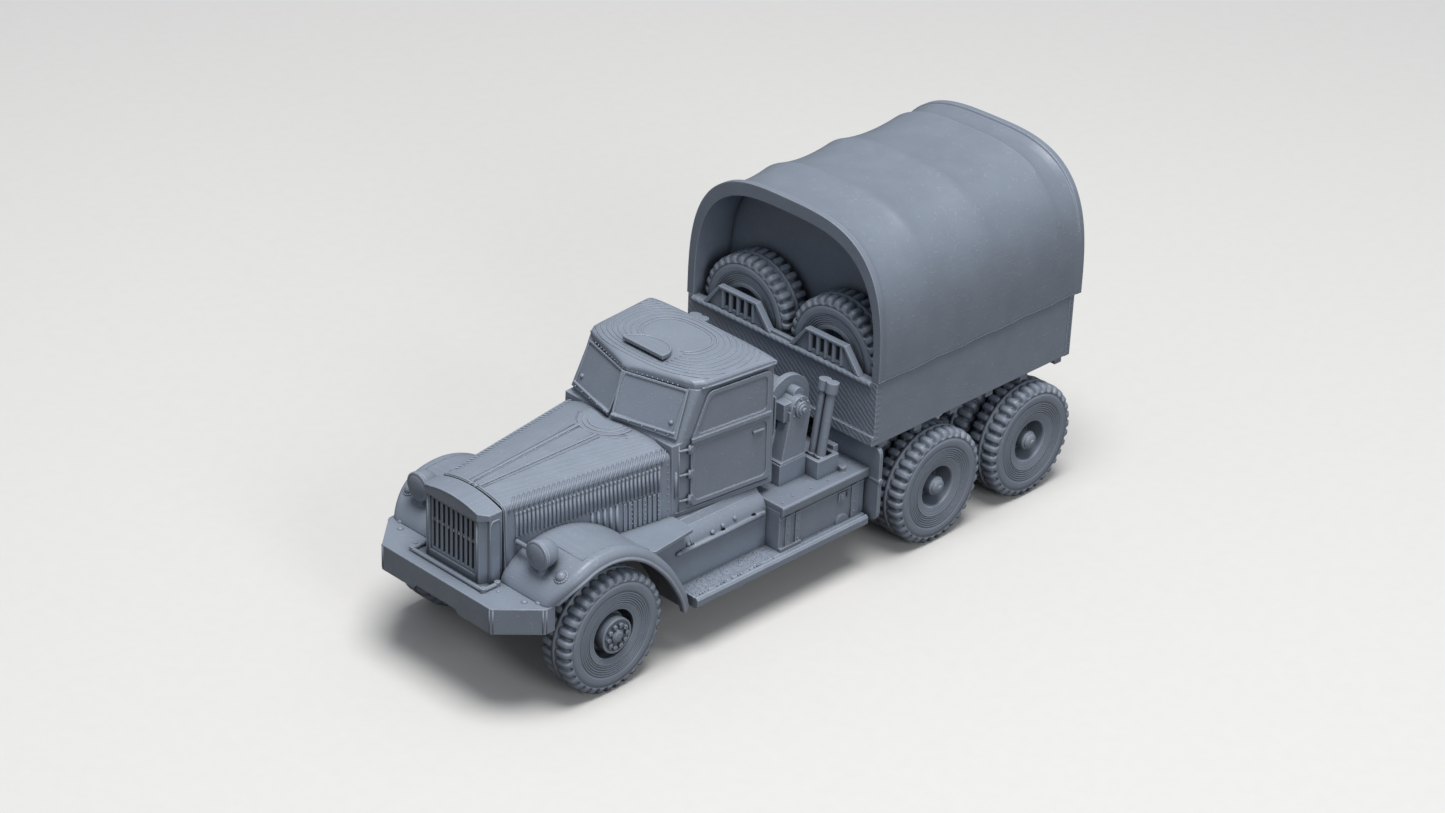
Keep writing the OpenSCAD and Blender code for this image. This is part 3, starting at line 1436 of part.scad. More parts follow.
module spare_tyre_left() {
    y = spare_d / 2 + fit;
    color(DARK)
        translate([spare_x - tyre_w, y, bed_floor + spare_d / 2])
            rotate([0, 90, 0])
                linear_extrude(height = tyre_w)
                    difference() {
                        circle(d = spare_d, $fn = 24);
                        circle(d = bead_d / cos(15), $fn = 12);
                    }
}
module spare_tyre_right() { right_side() spare_tyre_left(); }

module spare_wheel_left() {
    y = spare_d / 2 + fit;
    rim_in = rim_r - rim_wall;
    color(BODY)
        translate([spare_x - tyre_w, y, bed_floor + spare_d / 2])
            rotate([0, 90, 0])
                rotate_extrude()
                    polygon([
                        [0.2 * rim_in, 0.23 * tyre_w], [rim_in, 0.23 * tyre_w], [rim_in, 0.03 * tyre_w],
                        [rim_r, 0.03 * tyre_w], [rim_r, 0.97 * tyre_w], [rim_in, 0.97 * tyre_w],
                        [0.82 * rim_in, 0.47 * tyre_w], [0.5 * rim_in, 0.4 * tyre_w], [0.2 * rim_in, 0.4 * tyre_w]
                    ]);
}
module spare_wheel_right() { right_side() spare_wheel_left(); }

// outline of one spare bracket, drawn in at its slopes and top
module bracket_outline(inset) {
    foot = 0.39 * spare_d - 1.3 * inset;
    head = 0.22 * spare_d - inset / 2;
    polygon([[-foot, -inset], [foot, -inset], [head, bracket_h - inset], [-head, bracket_h - inset]]);
}

module spare_brackets() {
    x1 = bed_front - 2 * fit;
    y = spare_d / 2 + fit;
    pitch = 0.088 * spare_d;
    rim = bracket_h / 9;
    color(BODY) {
        for (s = [-1, 1]) {
            cross_cut(x1 - bracket_t, x1)
                translate([s * y, bed_top])
                    difference() {
                        bracket_outline(0);
                        for (i = [-1.5, -0.5, 0.5, 1.5])
                            translate([(i - 0.25) * pitch, 1.5 * rim])
                                square([pitch / 2, bracket_h - 3 * rim]);
                    }
            cross_cut(x1 - bracket_t, x1 + bracket_t / 2)
                translate([s * y, bed_top])
                    difference() {
                        bracket_outline(0);
                        bracket_outline(rim);
                    }
            for (i = [-2:2])
                translate([x1, s * y + i * pitch, bed_top + rim / 2])
                    cylinder(h = bracket_h - rim, r = pitch / 5, $fn = 16);
        }
        cross_cut(x1 - bracket_t, x1)
            translate([-y, bed_top])
                square([2 * y, rim]);
    }
}

chassis_frame();
front_axle();
driveline();
rear_axle_one();
rear_axle_two();
bumper();
radiator_shell();
grille();
bonnet();
fender_left();
fender_right();
headlamp_left();
headlamp_right();
cab_shell();
cab_roof();
windscreen();
door_left();
door_right();
cab_floor();
side_box_left();
side_box_right();
running_board_left();
running_board_right();
locker_left();
locker_right();
deck();
winch_frame();
winch_drum();
jacks_left();
jacks_right();
splash_left();
splash_right();
bed();
bed_bearers();
load_floor();
bulkhead();
canopy();
spare_tyre_left();
spare_tyre_right();
spare_wheel_left();
spare_wheel_right();
spare_brackets();
front_tyre_left();
front_tyre_right();
front_wheel_left();
front_wheel_right();
rear_one_tyres_left();
rear_one_tyres_right();
rear_one_wheel_left();
rear_one_wheel_right();
rear_two_tyres_left();
rear_two_tyres_right();
rear_two_wheel_left();
rear_two_wheel_right();
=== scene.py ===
"""Looks of the printed scale model truck: grey plastic, lugged tyres, rivets, beads and print marks."""
import json
import math
import random

import bmesh
import bpy
from mathutils import Matrix, Vector


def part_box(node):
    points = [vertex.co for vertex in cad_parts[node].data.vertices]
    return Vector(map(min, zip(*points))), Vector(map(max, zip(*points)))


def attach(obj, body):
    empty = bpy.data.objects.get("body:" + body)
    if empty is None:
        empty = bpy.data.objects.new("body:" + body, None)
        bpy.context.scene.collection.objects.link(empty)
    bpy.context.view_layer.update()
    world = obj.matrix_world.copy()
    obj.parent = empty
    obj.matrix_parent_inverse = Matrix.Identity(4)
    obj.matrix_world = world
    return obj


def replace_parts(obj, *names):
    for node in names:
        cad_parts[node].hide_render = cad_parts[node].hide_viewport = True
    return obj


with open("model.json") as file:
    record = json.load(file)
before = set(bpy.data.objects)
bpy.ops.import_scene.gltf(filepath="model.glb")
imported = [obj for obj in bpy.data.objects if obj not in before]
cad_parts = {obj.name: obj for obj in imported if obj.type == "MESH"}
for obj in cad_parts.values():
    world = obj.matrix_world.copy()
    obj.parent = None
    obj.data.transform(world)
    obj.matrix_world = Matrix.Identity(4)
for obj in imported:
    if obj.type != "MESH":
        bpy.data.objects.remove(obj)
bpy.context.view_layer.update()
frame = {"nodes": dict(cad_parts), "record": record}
nodes = frame["nodes"]
MM = 0.001

# tyres, in millimetres
LUGS = 34
COLUMNS_PER_LUG = 10
LUG_DEPTH = 0.72
SHOULDER_CUT = 0.42
RIB_HALF = 0.3
TYRE_HALF = 3.0
BEAD = 5.2
# lugs begin this far under the tread's top, and reach their full depth over the blend
LUG_REACH, LUG_BLEND = 1.1, 0.5
SHOULDER = 0.5

# places on the truck, in millimetres, as in the CAD source
NOSE_X, BUMPER_TOP, BUMPER_LOW = 60.45, 18.7, 14.4
BONNET_FRONT, BONNET_LEN, BODY_Z, SHOULDER_Z = 53.15, 29.4, 19.6, 30.8
FRONT_AXLE_X, AXLE_Z = 42.05, 10.0
CAB_FRONT, CAB_LEN = 23.7, 19.7
ROOF_Z, BELT_Z = 40.05, 32.0
ROOF_LIP, ROOF_CROWN, ROOF_FRONT, ROOF_BACK = 0.35, 1.5, 22.55, 3.65
RING_X, RING_Y, RING_LONG, RING_WIDE, RING_STEPS = 11.0, -0.4, 9.4, 13.4, 96
RING_SIZES = (0.44, 0.5, 0.59, 0.67, 0.75, 0.82, 0.89, 0.96, 1.03)
SCOOP_X, SCOOP_R, SCOOP_TOP, SCOOP_FALL = 18.9, 4.3, 42.89, 0.1375
SCREEN_X, SCREEN_SWEEP, SCREEN_SHIFT = 22.5, 3.3, 3.6
DECK_TOP, BOARD_TOP, LOCKER_FACE = 17.95, 9.8, 19.0
WINCH_X, WINCH_Y, WINCH_Z, WINCH_BOLTS = -2.2, 13.92, 30.1, 1.65
STROKES, LOUVRES, BOX_ROLL = 32, 36, 2.62
BED_FRONT, TAIL_X, BED_TOP = -11.75, -60.45, 33.8
TILT_HALF, TILT_H, TILT_POWER, TILT_SAG, TILT_WALL = 21.3, 24.2, 3.15, 0.9, 1.2
TILT_BEAD, TILT_BEAD_W, TILT_IN_HALF = 0.2, 1.0, 19.8
ARCH_STEPS, BAY_STEPS = 90, 20
TILT_BOWS = [0, 0.24, 0.54, 0.87, 1]
FENDER_LINE = [
    (-1.65, -0.5), (-1.63, -0.26), (-1.55, 0.06), (-1.4, 0.36), (-1.19, 0.68), (-0.92, 0.98),
    (-0.63, 1.22), (-0.3, 1.39), (0.06, 1.47), (0.42, 1.45), (0.72, 1.35), (0.97, 1.19), (1.16, 0.99),
]


class Val:
    """A shader socket that takes part in Python expressions."""

    def __init__(self, mat, socket):
        self.mat = mat
        self.socket = socket

    def math(self, operation, other=None, swap=False):
        args = [self] if other is None else [other, self] if swap else [self, other]
        return self.mat.node("ShaderNodeMath", {"operation": operation}, dict(enumerate(args)))

    def __add__(self, other):
        return self.math("ADD", other)

    __radd__ = __add__

    def __sub__(self, other):
        return self.math("SUBTRACT", other)

    def __rsub__(self, other):
        return self.math("SUBTRACT", other, swap=True)

    def __mul__(self, other):
        return self.math("MULTIPLY", other)

    __rmul__ = __mul__

    def __pow__(self, other):
        return self.math("POWER", other)

    def abs(self):
        return self.math("ABSOLUTE")

    def fract(self):
        return self.math("FRACT")

    def sin(self):
        return self.math("SINE")

    def step_up(self, low, high):
        """0 at low, 1 at high and a smooth change between them."""
        settings = {"interpolation_type": "SMOOTHSTEP", "clamp": True}
        return self.mat.node("ShaderNodeMapRange", settings,
                             {"Value": self, "From Min": low, "From Max": high})


class Finish:
    """One material being made from nodes, with a Principled shader at its end."""

    def __init__(self, name, **constants):
        self.material = bpy.data.materials.new(name)
        self.material.use_nodes = True
        self.tree = self.material.node_tree
        self.shader = self.tree.nodes["Principled BSDF"]
        for socket, value in constants.items():
            self.shader.inputs[socket.replace("_", " ")].default_value = value

    def node(self, kind, settings=None, inputs=None, output=0):
        made = self.tree.nodes.new(kind)
        for key, value in (settings or {}).items():
            setattr(made, key, value)
        for key, value in (inputs or {}).items():
            self.feed(made.inputs[key], value)
        return Val(self, made.outputs[output])

    def feed(self, socket, value):
        if isinstance(value, Val):
            self.tree.links.new(value.socket, socket)
        else:
            socket.default_value = value

    def place(self):
        """Object coordinates in millimetres."""
        coords = self.node("ShaderNodeTexCoord", output="Object")
        return self.node("ShaderNodeVectorMath", {"operation": "SCALE"}, {0: coords, "Scale": 1 / MM})

    def split(self, vector):
        made = self.tree.nodes.new("ShaderNodeSeparateXYZ")
        self.feed(made.inputs[0], vector)
        return [Val(self, s) for s in made.outputs]

    def noise(self, vector, scale, detail=2.0, rough=0.5):
        return self.node("ShaderNodeTexNoise", None,
                         {"Vector": vector, "Scale": scale, "Detail": detail, "Roughness": rough})

    def mix(self, factor, a, b):
        made = self.tree.nodes.new("ShaderNodeMix")
        made.data_type = "RGBA"
        self.feed(made.inputs["Factor"], factor)
        for key, value in (("A", a), ("B", b)):
            sockets = [s for s in made.inputs if s.name == key and s.type == "RGBA"]
            self.feed(sockets[0], value)
        return Val(self, [s for s in made.outputs if s.type == "RGBA"][0])

    def bump(self, height, strength, distance, normal):
        return self.node("ShaderNodeBump", None,
                         {"Height": height, "Strength": strength, "Distance": distance, "Normal": normal})

    def done(self, **links):
        for socket, value in links.items():
            self.feed(self.shader.inputs[socket.replace("_", " ")], value)
        return self.material


GREY = (0.240, 0.280, 0.348)
GREY_DEEP = (0.222, 0.260, 0.325)
# pale grey of the print marks, and of the painted highlight on edges
GREY_PALE_PRINT_AND_HIGHLIGHT = (0.500, 0.560, 0.660)
# near-black grey of the painted shade in hollows
GREY_PAINTED_SHADE = (0.060, 0.066, 0.080)


def toned(colour, tone):
    return tuple(c * tone for c in colour) + (1.0,)


# print marks: each gives a height from the place in millimetres and from how far a face looks up
def no_marks(fin, x, y, z, up, wander):
    return 0.0 * x


def fill_marks(fin, x, y, z, up, wander):
    """Slanting lines of the top fill on level faces."""
    return ((x + 0.8 * y) * 7.5 + wander * 3.0).sin() * up.step_up(0.9, 0.99) * 0.3


def wall_marks(fin, x, y, z, up, wander):
    """Slanting lines on the bed's front wall, level layer lines on its sides."""
    slant = ((y * 0.8 + z) * 6.0 + wander * 5.0).sin() * x.step_up(-12.9, -12.5) * 0.5
    return slant + (z * 9.0 + wander).sin() * 0.04


def layer_marks(fin, x, y, z, up, wander):
    """Steps of the print layers on gentle slopes, and fine fill lines."""
    layer = (z * 5.6 + (wander - 0.5) * 0.3).fract()
    return layer.step_up(0.0, 0.9) * up.step_up(0.55, 0.85) * 0.5 + fill_marks(fin, x, y, z, up, wander) * 0.4


def tilt_marks(fin, x, y, z, up, wander):
    """Faint lines along the arch of the tilt."""
    return (z * 6.0 + wander * 2.0).sin() * 0.03


def board_marks(fin, x, y, z, up, wander):
    """Speckled tread plate of the running boards."""
    spots = fin.node("ShaderNodeTexVoronoi", None, {"Vector": fin.place(), "Scale": 1.3})
    return (1 - spots.step_up(0.15, 0.4)) * up.step_up(0.8, 0.95) * 1.6


def ring_marks(centre_x):
    """Turned rings about an axle."""
    def marks(fin, x, y, z, up, wander):
        radius = ((x - centre_x) ** 2.0 + (z - AXLE_Z) ** 2.0) ** 0.5
        return (radius * 14.0).sin() * 0.3
    return marks


def printed_grey(name, marks=no_marks, tone=1.0, edge_highlight=0.9, round_edge=0.25):
    """Printed plastic: grey, painted highlights on edges, painted shade in hollows, wandering nozzle lines,
    marks of its piece.
    """
    fin = Finish(name, Specular_IOR_Level=0.5)
    place = fin.place()
    x, y, z = fin.split(place)
    cloud = fin.noise(place, 0.25, 2.0)
    grain = fin.noise(place, 6.0, 3.0, 0.65)
    wander = fin.noise(place, 0.8, 1.0)
    patch = fin.noise(place, 0.9, 2.0, 0.6)
    thread = 1 - ((wander * 5.0).fract() - 0.5).abs().step_up(0.05, 0.14)
    thread = thread * patch.step_up(0.52, 0.6)
    soft_edge = fin.node("ShaderNodeBevel", {"samples": 4}, {"Radius": round_edge * MM})
    face = fin.node("ShaderNodeNewGeometry", output="Normal")
    turn = fin.node("ShaderNodeVectorMath", {"operation": "DOT_PRODUCT"}, {0: soft_edge, 1: face},
                    output="Value")
    # edge mask where the bevel normal turns from the face, for the painted highlight
    edge = (1 - turn).step_up(0.004, 0.10)
    # ambient occlusion: how open each point is, for the painted shade in hollows
    open_sky = fin.node("ShaderNodeAmbientOcclusion", {"samples": 4}, {"Distance": 2.2 * MM}, output="AO")
    up = fin.split(face)[2]
    mark = marks(fin, x, y, z, up, wander)
    height = thread * 0.5 + grain * 0.1 + mark
    normal = fin.bump(height, 0.6, 0.07 * MM, soft_edge)
    colour = fin.mix(cloud.step_up(0.25, 0.75), toned(GREY_DEEP, tone), toned(GREY, tone))
    colour = fin.mix(thread * 0.12 + mark * 0.10, colour, toned(GREY_PALE_PRINT_AND_HIGHLIGHT, tone))
    # painted shade: hollows darkened towards near-black
    colour = fin.mix((1 - open_sky).step_up(0.14, 0.78) * 0.85, colour, toned(GREY_PAINTED_SHADE, tone))
    # painted highlight: edges made paler, less so in hollows
    colour = fin.mix(edge * open_sky.step_up(0.35, 0.75) * edge_highlight, colour, toned(GREY_PALE_PRINT_AND_HIGHLIGHT, tone))
    rough = 0.40 + (grain - 0.5) * 0.14 + (wander - 0.5) * 0.1
    return fin.done(Base_Color=colour, Roughness=rough, Normal=normal)


def floor_paper():
    """Pale studio paper. Rays other than the camera's see it darker, so that it throws little light up."""
    fin = Finish("studio_paper", Roughness=0.9, Specular_IOR_Level=0.1)
    fibre = fin.noise(fin.place(), 0.4, 4.0, 0.6)
    seen = fin.node("ShaderNodeLightPath", output="Is Camera Ray")
    pale = fin.mix(fibre, (0.70, 0.695, 0.685, 1.0), (0.74, 0.735, 0.725, 1.0))
    return fin.done(Base_Color=fin.mix(seen, (0.13, 0.11, 0.09, 1.0), pale))


def new_piece(name, bm, material, body):
    """Object from a bmesh in millimetres, riding on a CAD body."""
    bmesh.ops.scale(bm, vec=(MM, MM, MM), verts=bm.verts)
    mesh = bpy.data.meshes.new(name)
    bm.to_mesh(mesh)
    bm.free()
    mesh.materials.append(material)
    obj = bpy.data.objects.new(name, mesh)
    bpy.context.scene.collection.objects.link(obj)
    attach(obj, body)
    return obj


def trim_piece(name, bm, material=None):
    """Small raised detail of the truck's body, smooth all over."""
    bmesh.ops.recalc_face_normals(bm, faces=bm.faces)
    for face in bm.faces:
        face.smooth = True
    return new_piece(name, bm, material or TRIM, "chassis")


def in_mm(node):
    low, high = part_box(node)
    return low / MM, high / MM


def facing(direction):
    """Turns Z to a direction."""
    return Vector((0, 0, 1)).rotation_difference(Vector(direction)).to_matrix().to_4x4()


def rod(bm, a, b, radius, sides=8):
    """Round bar between two points."""
    a, b = Vector(a), Vector(b)
    bmesh.ops.create_cone(bm, cap_ends=True, segments=sides, radius1=radius, radius2=radius,
                          depth=(b - a).length, matrix=Matrix.Translation((a + b) / 2) @ facing(b - a))


def dome(bm, place, out, radius, height):
    """Round head of a rivet or bolt, half sunk in its face."""
    shape = Matrix.Diagonal((radius, radius, height, 1.0))
    bmesh.ops.create_uvsphere(bm, u_segments=10, v_segments=6, radius=1.0,
                              matrix=Matrix.Translation(place) @ facing(out) @ shape)


def bead(bm, points, radius, sides=8):
    """Raised line swept through points, round at its ends."""
    points = [Vector(p) for p in points]
    last = None
    for i, p in enumerate(points):
        run = points[min(i + 1, len(points) - 1)] - points[max(i - 1, 0)]
        ring = bmesh.ops.create_circle(bm, cap_ends=i in (0, len(points) - 1), segments=sides, radius=radius,
                                       matrix=Matrix.Translation(p) @ facing(run))
        edges = list({e for v in ring["verts"] for e in v.link_edges})
        if last:
            bmesh.ops.bridge_loops(bm, edges=last + edges)
        last = edges
    for p in (points[0], points[-1]):
        bmesh.ops.create_icosphere(bm, subdivisions=1, radius=radius * 0.98, matrix=Matrix.Translation(p))


def mirrored(points, side):
    return [Vector((p[0], side * p[1], p[2])) for p in points]


def lerp(a, b, t):
    return a + (b - a) * t


# surfaces of the truck that the trim lies on
def bonnet_side(x, z):
    return lerp(7.3, 12.2, (BONNET_FRONT - x) / BONNET_LEN) - 0.6 * (z - BODY_Z) / (SHOULDER_Z - BODY_Z)


def bonnet_top(x, y):
    crown = lerp(0.8, 1.9, (BONNET_FRONT - x) / BONNET_LEN)
    return SHOULDER_Z + crown * (1 - (y / (bonnet_side(x, SHOULDER_Z) - 0.9)) ** 2)


def fender_crown(x):
    """Height of a fender's crown line."""
    u = (x - FRONT_AXLE_X) / AXLE_Z
    for i in range(1, len(FENDER_LINE) - 2):
        p0, p1, p2, p3 = FENDER_LINE[i - 1:i + 3]
        if p1[0] <= u <= p2[0]:
            t = (u - p1[0]) / (p2[0] - p1[0])
            curve = (2 * p1[1] + (p2[1] - p0[1]) * t + (2 * p0[1] - 5 * p1[1] + 4 * p2[1] - p3[1]) * t ** 2
                     + (3 * p1[1] - p0[1] - 3 * p2[1] + p3[1]) * t ** 3)
            return AXLE_Z * (1 + curve / 2)
    return AXLE_Z


def cab_side(x, z):
    return lerp(12.2, 14.2, (CAB_FRONT - x) / CAB_LEN) - 0.6 * (z - BODY_Z) / (ROOF_Z - BODY_Z)


def swell(t):
    """Rise from 0 at an edge to 1, steep at first."""
    return (1 - (1 - min(1, max(0, t))) ** 2.6) ** 0.4


def roof_half(x):
    """Half width of the cab roof, narrowing to its pointed front."""
    side = cab_side(x, ROOF_Z)
    corner = cab_side(SCREEN_X - SCREEN_SHIFT, ROOF_Z)
    front = max(0.02 * side, corner * (ROOF_FRONT - x) / (SCREEN_SWEEP + ROOF_LIP))
    return (side ** -9 + front ** -9) ** (-1 / 9) + ROOF_LIP


def roof_top(x, y):
    """Height of the domed cab roof."""
    front = swell((ROOF_FRONT - x) / (0.3 * CAB_LEN))
    crown = ROOF_CROWN * front * swell((x - ROOF_BACK + 0.07) / (0.12 * CAB_LEN))
    cosine = min(1, abs(y) / roof_half(x)) ** (1 / 0.7)
    return ROOF_Z + ROOF_LIP + crown * (1 - cosine ** 2) ** 0.275


def screen_point(u, v, lift):
    """Point on the left half of the windscreen: across from the middle, up from the foot, out."""
    o = Vector((SCREEN_X + SCREEN_SWEEP, 0, BELT_Z))
    a = Vector((SCREEN_X, cab_side(SCREEN_X, BELT_Z), BELT_Z))
    b = Vector((SCREEN_X + SCREEN_SWEEP - SCREEN_SHIFT, 0, ROOF_Z))
    e1 = (a - o).normalized()
    n = (a - o).cross(b - o).normalized()
    return o + u * e1 + v * n.cross(e1) + lift * n, n


def tilt_arch(x, half, height):
    """Points over the arch of the tilt from its left foot to its right foot."""
    points = []
    for i in range(ARCH_STEPS + 1):
        t = math.pi * i / ARCH_STEPS
        c, s = math.cos(t), max(0.0, math.sin(t))
        y = half * math.copysign(abs(c) ** (2 / TILT_POWER), c)
        points.append(Vector((x, y, BED_TOP + height * s ** (2 / TILT_POWER))))
    return points


def tilt_stations():
    """Places along the tilt: x, how far the top is raised there and how far the sides stand out."""
    e, w = TILT_BEAD, TILT_BEAD_W
    stations = [(BED_FRONT, e, 0), (BED_FRONT - w, e, 0), (BED_FRONT - w - e, 0, -e / 2)]
    last = TAIL_X + w + e
    for a, b in zip(TILT_BOWS, TILT_BOWS[1:]):
        for k in range(1, BAY_STEPS + 1):
            f = k / BAY_STEPS
            x = lerp(BED_FRONT, TAIL_X, lerp(a, b, f))
            if last + 0.8 < x < BED_FRONT - w - e - 0.2:
                stations.append((x, -TILT_SAG * 4 * f * (1 - f), -e / 2))
    return stations + [(last, -TILT_SAG / 4, -e / 2), (TAIL_X + w, e, 0), (TAIL_X, e, 0)]


def smooth_tilt():
    """The tilt with more stations than its CAD shell has, so that its arch and its sag are smooth."""
    bm = bmesh.new()
    inner_h = TILT_H - TILT_SAG - TILT_WALL
    stations = tilt_stations()
    last = None
    for i, (x, raised, out) in enumerate(stations):
        loop = tilt_arch(x, TILT_HALF + out, TILT_H + raised) + tilt_arch(x, TILT_IN_HALF, inner_h)[::-1]
        verts = [bm.verts.new(p) for p in loop]
        edges = [bm.edges.new((verts[k - 1], verts[k])) for k in range(len(verts))]
        if last:
            bmesh.ops.bridge_loops(bm, edges=last + edges)
        if i in (0, len(stations) - 1):
            cap = bmesh.ops.edgeloop_fill(bm, edges=edges)
            bmesh.ops.triangulate(bm, faces=cap["faces"])
        last = edges
    bmesh.ops.recalc_face_normals(bm, faces=bm.faces)
    for face in bm.faces:
        face.smooth = True
    for edge in bm.edges:
        edge.smooth = edge.calc_face_angle(0.0) < math.radians(30)
    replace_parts(new_piece("smooth_tilt", bm, TILT, "chassis"), "canopy")


# tyres
def tyre_profile(outer):
    """Cross section of a tyre from its inner bead over the tread to its outer bead: across, radius."""
    h = TYRE_HALF
    side = [(h - 1.2, BEAD - 0.02), (h - 0.3, BEAD)]
    for i in range(5):
        r = BEAD + 0.06 + 0.36 * i
        a = h - 0.2 + 0.035 * i
        side += [(a, r), (a + 0.02, r + 0.16), (a - 0.19, r + 0.24), (a - 0.18, r + 0.3)]
    side += [(h - 0.06, 7.1), (h, 7.4), (h, 8.0), (h - 0.02, 8.5), (h - 0.15, 8.58), (h - 0.14, 8.66),
             (h - 0.02, 8.74)]
    side = [(a, r * outer / 10 if r > 7.0 else r) for a, r in side]
    tread = [(h - 0.03, outer - 1.0), (h - 0.08, outer - 0.75), (h - 0.18, outer - 0.48),
             (h - 0.4, outer - 0.2), (h - 0.75, outer - 0.06), (h - 1.2, outer), (h - 1.8, outer),
             (h - 2.3, outer - 0.03),
             (RIB_HALF + 0.2, outer - 0.14), (RIB_HALF + 0.08, outer - 0.45), (RIB_HALF, outer - 0.4),
             (RIB_HALF - 0.05, outer - 0.05), (RIB_HALF - 0.14, outer)]
    right = side + tread
    return [(-a, r) for a, r in right] + [(a, r) for a, r in reversed(right)]


def lug_height(phase):
    """1 on a lug and 0 in the hollow beside it, over one lug pitch."""
    t = abs(phase % 1.0 - 0.5) * 2
    return 1 - 0.14 * t * t - 0.86 * min(1, max(0, (t - 0.42) / 0.38)) ** 1.3


def lugged_tyre(outer):
    """Mesh of one tyre about Z, in millimetres: a section spun round, with its lugs drawn from the tread."""
    bm = bmesh.new()
    verts = [bm.verts.new((r, 0, a)) for a, r in tyre_profile(outer)]
    edges = [bm.edges.new((verts[i - 1], verts[i])) for i in range(len(verts))]
    bmesh.ops.spin(bm, geom=verts + edges, cent=(0, 0, 0), axis=(0, 0, 1), angle=2 * math.pi,
                   steps=LUGS * COLUMNS_PER_LUG, use_merge=True)
    bmesh.ops.remove_doubles(bm, verts=bm.verts, dist=0.0005)
    for v in bm.verts:
        radius = math.hypot(v.co.x, v.co.y)
        if radius < outer - LUG_REACH or abs(v.co.z) < RIB_HALF + 0.12:
            continue
        phase = math.atan2(v.co.y, v.co.x) / (2 * math.pi) * LUGS + (0.5 if v.co.z > 0 else 0.0)
        share = min(1, (radius - outer + LUG_REACH) / LUG_BLEND)
        hollow = 1 - lug_height(phase)
        scale = 1 - LUG_DEPTH * share * hollow / radius
        v.co.x *= scale
        v.co.y *= scale
        if abs(v.co.z) > TYRE_HALF - SHOULDER:
            v.co.z -= math.copysign(SHOULDER_CUT * hollow * share, v.co.z)
    bmesh.ops.recalc_face_normals(bm, faces=bm.faces)
    for face in bm.faces:
        face.smooth = True
    mesh = bpy.data.meshes.new("lugged_tyre")
    bm.to_mesh(mesh)
    bm.free()
    return mesh


def tyre_piece(node, mesh, places, axis, body):
    """Tyres of one wheel, in the place of their CAD rings."""
    bm = bmesh.new()
    for place in places:
        start = len(bm.verts)
        bm.from_mesh(mesh)
        bm.verts.ensure_lookup_table()
        bmesh.ops.transform(bm, matrix=Matrix.Translation(place) @ facing(axis), verts=bm.verts[start:])
    piece = new_piece(f"lugged_{node}", bm, TYRE, body)
    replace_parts(piece, node)


# trim
def bumper_trim():
    """Double beads on the bumper's corners, bolts on its deck and rivets on the grille tie."""
    bm = bmesh.new()
    for side in (1, -1):
        for x, y in ((NOSE_X, 12.05), (NOSE_X - 0.24, 12.52), (54.8, 17.47), (54.3, 17.7)):
            bead(bm, mirrored([(x, y, BUMPER_LOW + 0.2), (x, y, BUMPER_TOP - 0.15)], side), 0.11)
        for x, y, r in ((55.4, 14.0, 0.5), (53.9, 15.6, 0.62), (56.3, 9.3, 0.32)):
            dome(bm, Vector((x, side * y, BUMPER_TOP)), (0, 0, 1), r, 0.55 * r)
    half_edge = [(52.8, 17.6), (54.5, 17.6), (NOSE_X - 0.1, 12.25)]
    whole_edge = half_edge + [(x, -y) for x, y in reversed(half_edge)]
    bead(bm, [(x, y, BUMPER_TOP - 0.04) for x, y in whole_edge], 0.1)
    low, high = in_mm("grille")
    tie_z = lerp(low.z, high.z, 0.56)
    for i in range(9):
        y = lerp(low.y + 0.25, high.y - 0.25, i / 8)
        dome(bm, Vector((high.x - 0.1, y, tie_z)), (1, 0, 0), 0.2, 0.22)
    trim_piece("bumper_and_grille_trim", bm)


def radiator_trim():
    """Round edge of the radiator cap, ribs beside the grille, side panels and the bonnet's front clip."""
    bm = bmesh.new()
    half, rise = 7.0, 1.3
    top = BUMPER_TOP + 11.7
    radius = (half ** 2 + rise ** 2) / (2 * rise)
    arch = [(57.35, lerp(-5.8, 5.8, i / 12)) for i in range(13)]
    edge = [Vector((x, y, top + rise - radius + math.sqrt(radius ** 2 - y * y) - 0.1)) for x, y in arch]
    bead(bm, edge, 0.16)
    for side in (1, -1):
        bead(bm, mirrored([(57.1, 5.5, 19.2), (57.1, 5.5, 29.0)], side), 0.18)
        slab = [(55.8, 6.75, 19.0), (55.8, 6.95, 19.0), (55.8, 6.95, 28.6), (55.4, 6.98, 29.2),
                (54.2, 6.98, 29.2), (53.8, 6.95, 28.6), (53.8, 6.95, 19.0)]
        bead(bm, mirrored(slab, side), 0.17)
    for dy in (-0.55, 0.55):
        rod(bm, (53.4, dy, 31.55), (52.5, dy, 31.6), 0.2)
        dome(bm, Vector((53.0, dy, 31.65)), (0, 0, 1), 0.32, 0.28)
    rod(bm, (52.8, -0.7, 31.62), (52.8, 0.7, 31.62), 0.16)
    trim_piece("radiator_trim", bm)


